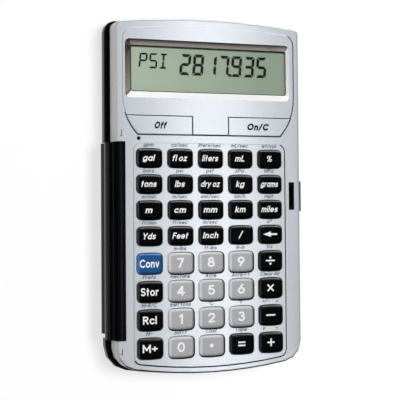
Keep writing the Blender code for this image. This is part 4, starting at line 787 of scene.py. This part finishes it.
def figures():
    """The same for the figures and the signs among the words."""
    over = bow(0.28, 0.72, 0.27, 0.28, 165, -35)
    three = np.vstack([bow(0.26, 0.765, 0.23, 0.235, 150, -80), bow(0.26, 0.27, 0.28, 0.27, 80, -150)])
    five = np.vstack([line((0.48, 1), (0.1, 1), (0.05, 0.57)), bow(0.26, 0.32, 0.3, 0.32, 115, -145)])
    return {
        "0": (0.6, ring(0.3, 0.5, 0.3, 0.5)),
        "1": (0.24, [line((0.22, 0), (0.22, 1)), line((0.02, 0.82), (0.22, 0.97))]),
        "2": (0.56, [np.vstack([over, line((0.02, 0), (0.56, 0))])]),
        "3": (0.54, [three]),
        "4": (0.62, [line((0.44, 0), (0.44, 1), (0, 0.28), (0.62, 0.28))]),
        "5": (0.56, [five]),
        "6": (0.58, ring(0.29, 0.31, 0.29, 0.31) + [line((0.38, 1), (0.03, 0.42))]),
        "7": (0.54, [line((0, 1), (0.54, 1), (0.18, 0))]),
        "8": (0.58, ring(0.29, 0.76, 0.23, 0.24) + ring(0.29, 0.26, 0.29, 0.26)),
        "9": (0.58, ring(0.29, 0.69, 0.29, 0.31) + [line((0.55, 0.58), (0.2, 0))]),
        "/": (0.32, [line((0, 0), (0.32, 1))]),
        "+": (0.5, [line((0, 0.45), (0.5, 0.45)), line((0.25, 0.2), (0.25, 0.7))]),
        "-": (0.24, [line((0, 0.36), (0.24, 0.36))]),
        "−": (0.46, [line((0, 0.45), (0.46, 0.45))]),
        "°": (0.22, ring(0.11, 0.88, 0.11, 0.12)),
        "▲": (0.3, [line((0.0, 0.2), (0.15, 0.5), (0.3, 0.2), (0.0, 0.2))]),
        "▼": (0.3, [line((0.0, 0.5), (0.15, 0.2), (0.3, 0.5), (0.0, 0.5))]),
        "²": (0.22, [np.vstack([bow(0.11, 0.89, 0.11, 0.11, 160, -30), line((0, 0.6), (0.22, 0.6))])]),
        "%": (0.86, ring(0.17, 0.8, 0.17, 0.2) + ring(0.69, 0.2, 0.17, 0.2) + [line((0.22, 0), (0.64, 1))]),
    }


STROKES = small_letters() | capitals() | figures()


def band(path, width):
    """One box for each part of a path: the boxes overlap at the bends, and run past the path's ends."""
    moves = np.diff(path, axis=0)
    length = np.linalg.norm(moves, axis=1)
    kept = length > POINT_MERGE
    start, moves, length = path[:-1][kept], moves[kept], length[kept]
    along = moves / length[:, None]
    cosine = np.clip((along[:-1] * along[1:]).sum(1), -1, 1)
    lap = np.minimum(np.sqrt((1 - cosine) / np.maximum(1 + cosine, POINT_MERGE)), 1)
    before = np.r_[1, lap][:, None] * width / 2
    after = np.r_[lap, 1][:, None] * width / 2
    across = np.c_[-along[:, 1], along[:, 0]] * width / 2
    low, high = start - along * before, start + moves + along * after
    return list(np.stack([low - across, high - across, high + across, low + across], axis=1))


def lettering(words, height, stroke, width=None, slant=0.0):
    """Centred outlines of words: the stroke is a share of the height, and x gains slant times y."""
    outlines = []
    start = 0.0
    for sign in words:
        if sign == " ":
            start += WORD_GAP
            continue
        reach, paths = STROKES[sign]
        weight = stroke * (PERCENT_STROKE_SHARE if sign == "%" else 1)
        for path in paths:
            outlines += band(path * (1, 1 - weight) + (start, weight / 2), weight)
        start += reach + stroke + LETTER_GAP
    across = np.concatenate([outline[:, 0] for outline in outlines])
    left, right = across.min(), across.max()
    scale = height if width is None else (width - slant * height) / (right - left)
    made = []
    for outline in outlines:
        x = (outline[:, 0] - (left + right) / 2) * scale
        y = (outline[:, 1] - 0.5) * height
        made.append(np.c_[x + slant * y, y])
    return made


def bar(width, height, x=0.0, y=0.0, turn=0.0):
    corners = np.array([(-1, -1), (1, -1), (1, 1), (-1, 1)]) * (width / 2, height / 2)
    return corners @ np.array([(math.cos(turn), math.sin(turn)), (-math.sin(turn), math.cos(turn))]) + (x, y)


def disc(radius, x=0.0, y=0.0):
    angle = np.linspace(0, 2 * math.pi, DISC_CORNERS, endpoint=False)
    return np.c_[x + radius * np.cos(angle), y + radius * np.sin(angle)]


def film(outlines):
    """Overlapping outlines as one closed film of the print's depth: a triangulation, and a wall round it."""
    starts = np.cumsum([0] + [len(outline) for outline in outlines])
    loops = [list(range(low, high)) for low, high in zip(starts[:-1], starts[1:])]
    corners = [Vector(point) for point in np.vstack(outlines)]
    flat, _, cells, _, _, sources = delaunay_2d_cdt(corners, [], loops, 1, POINT_MERGE)
    cells = np.array([cell for cell, source in zip(cells, sources) if source])
    used, cells = np.unique(cells, return_inverse=True)
    cells = cells.reshape(-1, 3)
    flat = np.array(flat)[used]
    sides = flat[cells[:, 1:]] - flat[cells[:, :1]]
    turned = sides[:, 0, 0] * sides[:, 1, 1] < sides[:, 0, 1] * sides[:, 1, 0]
    cells[turned] = cells[turned][:, ::-1]
    edges = np.concatenate([cells[:, [0, 1]], cells[:, [1, 2]], cells[:, [2, 0]]])
    count = len(flat)
    rim = edges[~np.isin(edges[:, 1] * count + edges[:, 0], edges[:, 0] * count + edges[:, 1])]
    walls = np.c_[rim, rim[:, ::-1] + count]
    points = np.vstack([np.c_[flat, np.zeros(count)], np.c_[flat, np.full(count, PRINT_DEPTH)]])
    return points, cells[:, ::-1].tolist() + (cells + count).tolist() + walls.tolist()


# Print


def key_print_piece(key, outlines, material, shift=PRINT_SHIFT):
    """Print on a key, laid on the crown of its cap where it has one."""
    node = "key_" + key
    low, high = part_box(node)
    points, faces = film(outlines)
    points = points * MM + (*shift, 0)
    top = high.z
    if material is PRINT_WHITE:
        _, half_x, half_y, top = cap_size(node)
        points[:, 2] -= crown(points[:, 0], points[:, 1], half_x, half_y)
    points += ((low.x + high.x) / 2, (low.y + high.y) / 2, top)
    new_piece("print_" + key, points, faces, material, node, smooth=False)


def signs():
    """The arithmetic signs and the arrow, from bars, discs and one head."""
    long, slanted, short, thick = 3.95, 3.7, 3.1, 0.62
    dot, dot_rise, point = 0.47, 1.25, 0.8
    shaft, shaft_thick, shaft_middle = 3.4, 0.72, 1.4
    head = np.array([(-3.05, 0.0), (0.35, -1.1), (0.35, 1.1)])
    eighth = math.pi / 4
    return {
        "divide": [bar(long, thick), disc(dot, 0, dot_rise), disc(dot, 0, -dot_rise)],
        "multiply": [bar(slanted, thick, turn=eighth), bar(slanted, thick, turn=-eighth)],
        "minus": [bar(long, thick)],
        "plus": [bar(short, thick), bar(thick, short)],
        "equals": [bar(short, thick, 0, thick), bar(short, thick, 0, -thick)],
        "decimal_point": [disc(point)],
        "backspace": [head, bar(shaft, shaft_thick, shaft_middle)],
    }


def key_print():
    for key, words, width in UNIT_WORDS:
        height = UNIT_HEIGHT * (SLASH_SCALE if words == "/" else 1)
        key_print_piece(key, lettering(words, height, UNIT_STROKE, width, ITALIC), PRINT_WHITE)
    for key, words, width in COMMAND_WORDS:
        key_print_piece(key, lettering(words, COMMAND_HEIGHT, COMMAND_STROKE, width), PRINT_WHITE)
    for digit in range(10):
        key_print_piece(f"digit_{digit}", lettering(str(digit), DIGIT_HEIGHT, DIGIT_STROKE), PRINT_WHITE)
    for key, outlines in signs().items():
        key_print_piece(key, outlines, PRINT_WHITE)
    off = lettering("Off", SWITCH_HEIGHT, SWITCH_STROKE, OFF_WIDTH, ITALIC)
    key_print_piece("off", off, DARK_PRINT_AND_SHADOW, OFF_SHIFT)
    on_clear = lettering("On/C", SWITCH_HEIGHT, SWITCH_STROKE, ON_WIDTH, ITALIC)
    key_print_piece("on_clear", on_clear, DARK_PRINT_AND_SHADOW, ON_SHIFT)


def panel_print():
    """The small words over the keys, all on the keypad's panel."""
    parts = []
    for key, words in LEGENDS.items():
        centre, _, half_y = solid_size("key_" + key)
        middle = centre.y + half_y + KEY_BULGE + (LEGEND_RISE + LEGEND_HEIGHT / 2) * MM
        points, faces = film(lettering(words, LEGEND_HEIGHT, LEGEND_STROKE, slant=ITALIC))
        parts.append((points * MM + (centre.x, middle, PANEL_TOP), faces))
    new_piece("panel_legends", *gathered(parts), PRINT_BLUE, "case", smooth=False)


def edge_marks():
    """A thin upright mark with a foot, past each end of the hinge, is the painted shadow of a small raised
    pip that is not built: lengths, then middles, in millimetres.
    """
    thick = PIP_SHADOW_STROKE
    upper = [bar(thick, 2.7, -36.25, 24.6), bar(0.8, thick, -36.55, 23.35)]
    lower = [bar(thick, 2.3, -36.3, -60.75), bar(0.7, thick, -36.5, -61.8)]
    points, faces = film(upper + lower)
    new_piece("edge_marks", points * MM + (0, 0, FACE_Z), faces, DARK_PRINT_AND_SHADOW, "case", smooth=False)


def segment_bars(width, height, stroke):
    """The bars of a seven-segment figure, with a middle upright: outlines that meet at mitred corners."""
    gap = stroke * SEGMENT_GAP_SHARE
    across, up, tip = width / 2, height / 2, stroke / 2
    reach = tip * SEGMENT_REACH_SHARE - gap
    top = np.array([(across + reach, up + tip), (-across - reach, up + tip),
                    (-across + tip + gap, up - tip), (across - tip - gap, up - tip)])
    right = np.array([(across, gap), (across + tip, tip), (across + tip, up + reach),
                      (across - tip, up - tip - gap), (across - tip, tip + gap)])
    middle = np.array([(across - gap, 0), (across - tip - gap, tip), (-across + tip + gap, tip),
                       (-across + gap, 0), (-across + tip + gap, -tip), (across - tip - gap, -tip)])
    upright = np.array([(0, gap), (tip, tip), (tip, up - tip - gap), (-tip, up - tip - gap), (-tip, tip)])
    bars = {
        "a": top, "b": right, "c": right[::-1] * (1, -1), "d": top[::-1] * (1, -1), "e": right * (-1, -1),
        "f": right[::-1] * (-1, 1), "g": middle, "i": upright, "l": upright[::-1] * (1, -1),
    }
    return {name: outline + (across, up) for name, outline in bars.items()}


def display_figures(words, place, size, pitch, stroke):
    """Each character's lit bars, leaned by the slant; a point takes no place of its own."""
    bars = segment_bars(*size, stroke)
    outlines = []
    column = 0
    for letter in words:
        x = place[0] + pitch * column
        if letter == ".":
            beside = x - pitch + size[0] + stroke * POINT_PLACE_SHARE
            outlines.append(bar(stroke, stroke, beside, place[1]))
            continue
        for name in DIGIT_SEGMENTS[letter]:
            flat_x, flat_y = bars[name].T
            outlines.append(np.c_[flat_x + (SEGMENT_SLANT * flat_y + x), flat_y + place[1]])
        column += 1
    return outlines


def display_print():
    number = display_figures(LCD_DIGITS, LCD_DIGIT_PLACE, LCD_DIGIT_SIZE, LCD_DIGIT_PITCH, LCD_DIGIT_STROKE)
    unit = display_figures(LCD_UNIT, LCD_UNIT_PLACE, LCD_UNIT_SIZE, LCD_UNIT_PITCH, LCD_UNIT_STROKE)
    points, faces = film(number + unit)
    new_piece("lit_segments", points * MM + (0, 0, LCD_TOP), faces, LCD_DARK, "case", smooth=False)


# Assembly


def shells():
    face = finished("front_shell", "silver_face_shell", FINE_EDGE, SILVER, "case")
    window_walls(face)
    display_border(face)
    side_wall(face)
    dark_lines(face)
    finished("rear_shell", "black_back_shell", SHELL_EDGE, BACK_BLACK, "case")
    finished("cover", "black_cover", COVER_EDGE, BLACK_GLOSS, "cover")
    finished("hinge_spine", "folding_spine", SHELL_EDGE, BLACK_GLOSS, "spine")
    finished("release_button", "side_release_button", FINE_EDGE, BLACK_GLOSS, "release_button")
    finished("battery_door", "battery_hatch", FINE_EDGE, BACK_BLACK, "battery_door")


def caps():
    for node in WIDE_KEYS:
        finished(node, "cap_" + node.removeprefix("key_"), FINE_EDGE, SILVER, node)
    for node in sorted(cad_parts):
        if node.startswith("key_") and node not in WIDE_KEYS:
            finish = KEY_GREY if node in GREY_KEYS else KEY_BLUE if node == "key_convert" else KEY_BLACK
            keycap(node, finish)


def carried_over():
    """The nodes that stay get their finishes."""
    finishes = {
        "display_lens": LENS, "lcd_glass": LCD_GREEN, "zebra_strip": ZEBRA, "circuit_board": BOARD,
        "rubber_keypad": RUBBER, "battery": STEEL, "battery_contact": STEEL, "body_hinge_pin": STEEL,
        "cover_hinge_pin": STEEL, "case_screw_1": STEEL, "case_screw_2": STEEL, "case_screw_3": STEEL,
    }
    for node, material in finishes.items():
        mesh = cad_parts[node].data
        mesh.materials.clear()
        mesh.materials.append(material)


# Floor, light and camera


def floor():
    """A table partly plain white to camera, mirror and glass rays, which keeps its shadow faint."""
    corners = np.array([(-1, -1, 0), (1, -1, 0), (1, 1, 0), (-1, 1, 0)]) * FLOOR_HALF
    mesh = bpy.data.meshes.new("floor")
    mesh.from_pydata(corners, [], [(0, 1, 2, 3)])
    material = bpy.data.materials.new("white_table")
    material.use_nodes = True
    tree = material.node_tree
    shader = tree.nodes["Principled BSDF"]
    shader.inputs["Base Color"].default_value = FLOOR_COLOUR
    shader.inputs["Roughness"].default_value = 0.9
    shader.inputs["Specular IOR Level"].default_value = 0.1
    rays = add_node(tree, "LightPath").outputs
    glass = worked(tree, "MAXIMUM", rays["Is Glossy Ray"], rays["Is Transmission Ray"])
    seen = worked(tree, "MAXIMUM", rays["Is Camera Ray"], glass)
    white = add_node(tree, "Emission", {"Strength": 1.0})
    mix = add_node(tree, "MixShader")
    tree.links.new(worked(tree, "MULTIPLY", seen, FLOOR_WHITE_SHARE), mix.inputs["Fac"])
    tree.links.new(shader.outputs[0], mix.inputs[1])
    tree.links.new(white.outputs[0], mix.inputs[2])
    tree.links.new(mix.outputs[0], tree.nodes["Material Output"].inputs["Surface"])
    mesh.materials.append(material)
    made = new_object("floor", mesh)
    return made


def soft_box(name, direction, distance, size, radiance, diffuse=True, glossy=True):
    """A rectangular lamp that faces the part from the given direction, its first side level."""
    light = bpy.data.lights.new(name, "AREA")
    light.shape = "RECTANGLE"
    light.size, light.size_y = size
    light.energy = radiance * math.pi * size[0] * size[1]
    made = new_object(name, light)
    towards = Vector(direction).normalized()
    made.location = towards * distance
    made.rotation_euler = towards.to_track_quat("Z", "Y").to_euler()
    made.visible_diffuse = diffuse
    made.visible_glossy = glossy
    return made


def link_light(lamp, table, state):
    """The lamp lights the table alone, INCLUDE, or everything but the table, EXCLUDE."""
    chosen = bpy.data.collections.new(lamp.name + "_reach")
    chosen.objects.link(table)
    chosen.collection_objects[0].light_linking.link_state = state
    lamp.light_linking.receiver_collection = chosen


def lighting(table):
    world = bpy.data.worlds.new("studio")
    world.use_nodes = True
    background = world.node_tree.nodes["Background"]
    background.inputs["Color"].default_value = WORLD_COLOUR
    background.inputs["Strength"].default_value = WORLD_STRENGTH
    bpy.context.scene.world = world
    for *lamp, state in LIGHTING_LAMPS:
        link_light(soft_box(*lamp, glossy=False), table, state)
    for lamp in REFLECTED_LAMPS:
        soft_box(*lamp, diffuse=False)


def camera():
    lens = bpy.data.cameras.new("camera")
    lens.sensor_width = SENSOR_WIDTH
    lens.lens = CAMERA_LENS
    lens.shift_y = CAMERA_SHIFT_Y
    lens.clip_start = 0.01
    made = new_object("camera", lens)
    made.location = CAMERA_PLACE
    made.rotation_euler = CAMERA_TURN
    bpy.context.scene.camera = made


bpy.context.scene.view_settings.view_transform = "Standard"
camera()
lighting(floor())
shells()
caps()
wells()
panel_lines()
key_print()
panel_print()
edge_marks()
display_print()
carried_over()
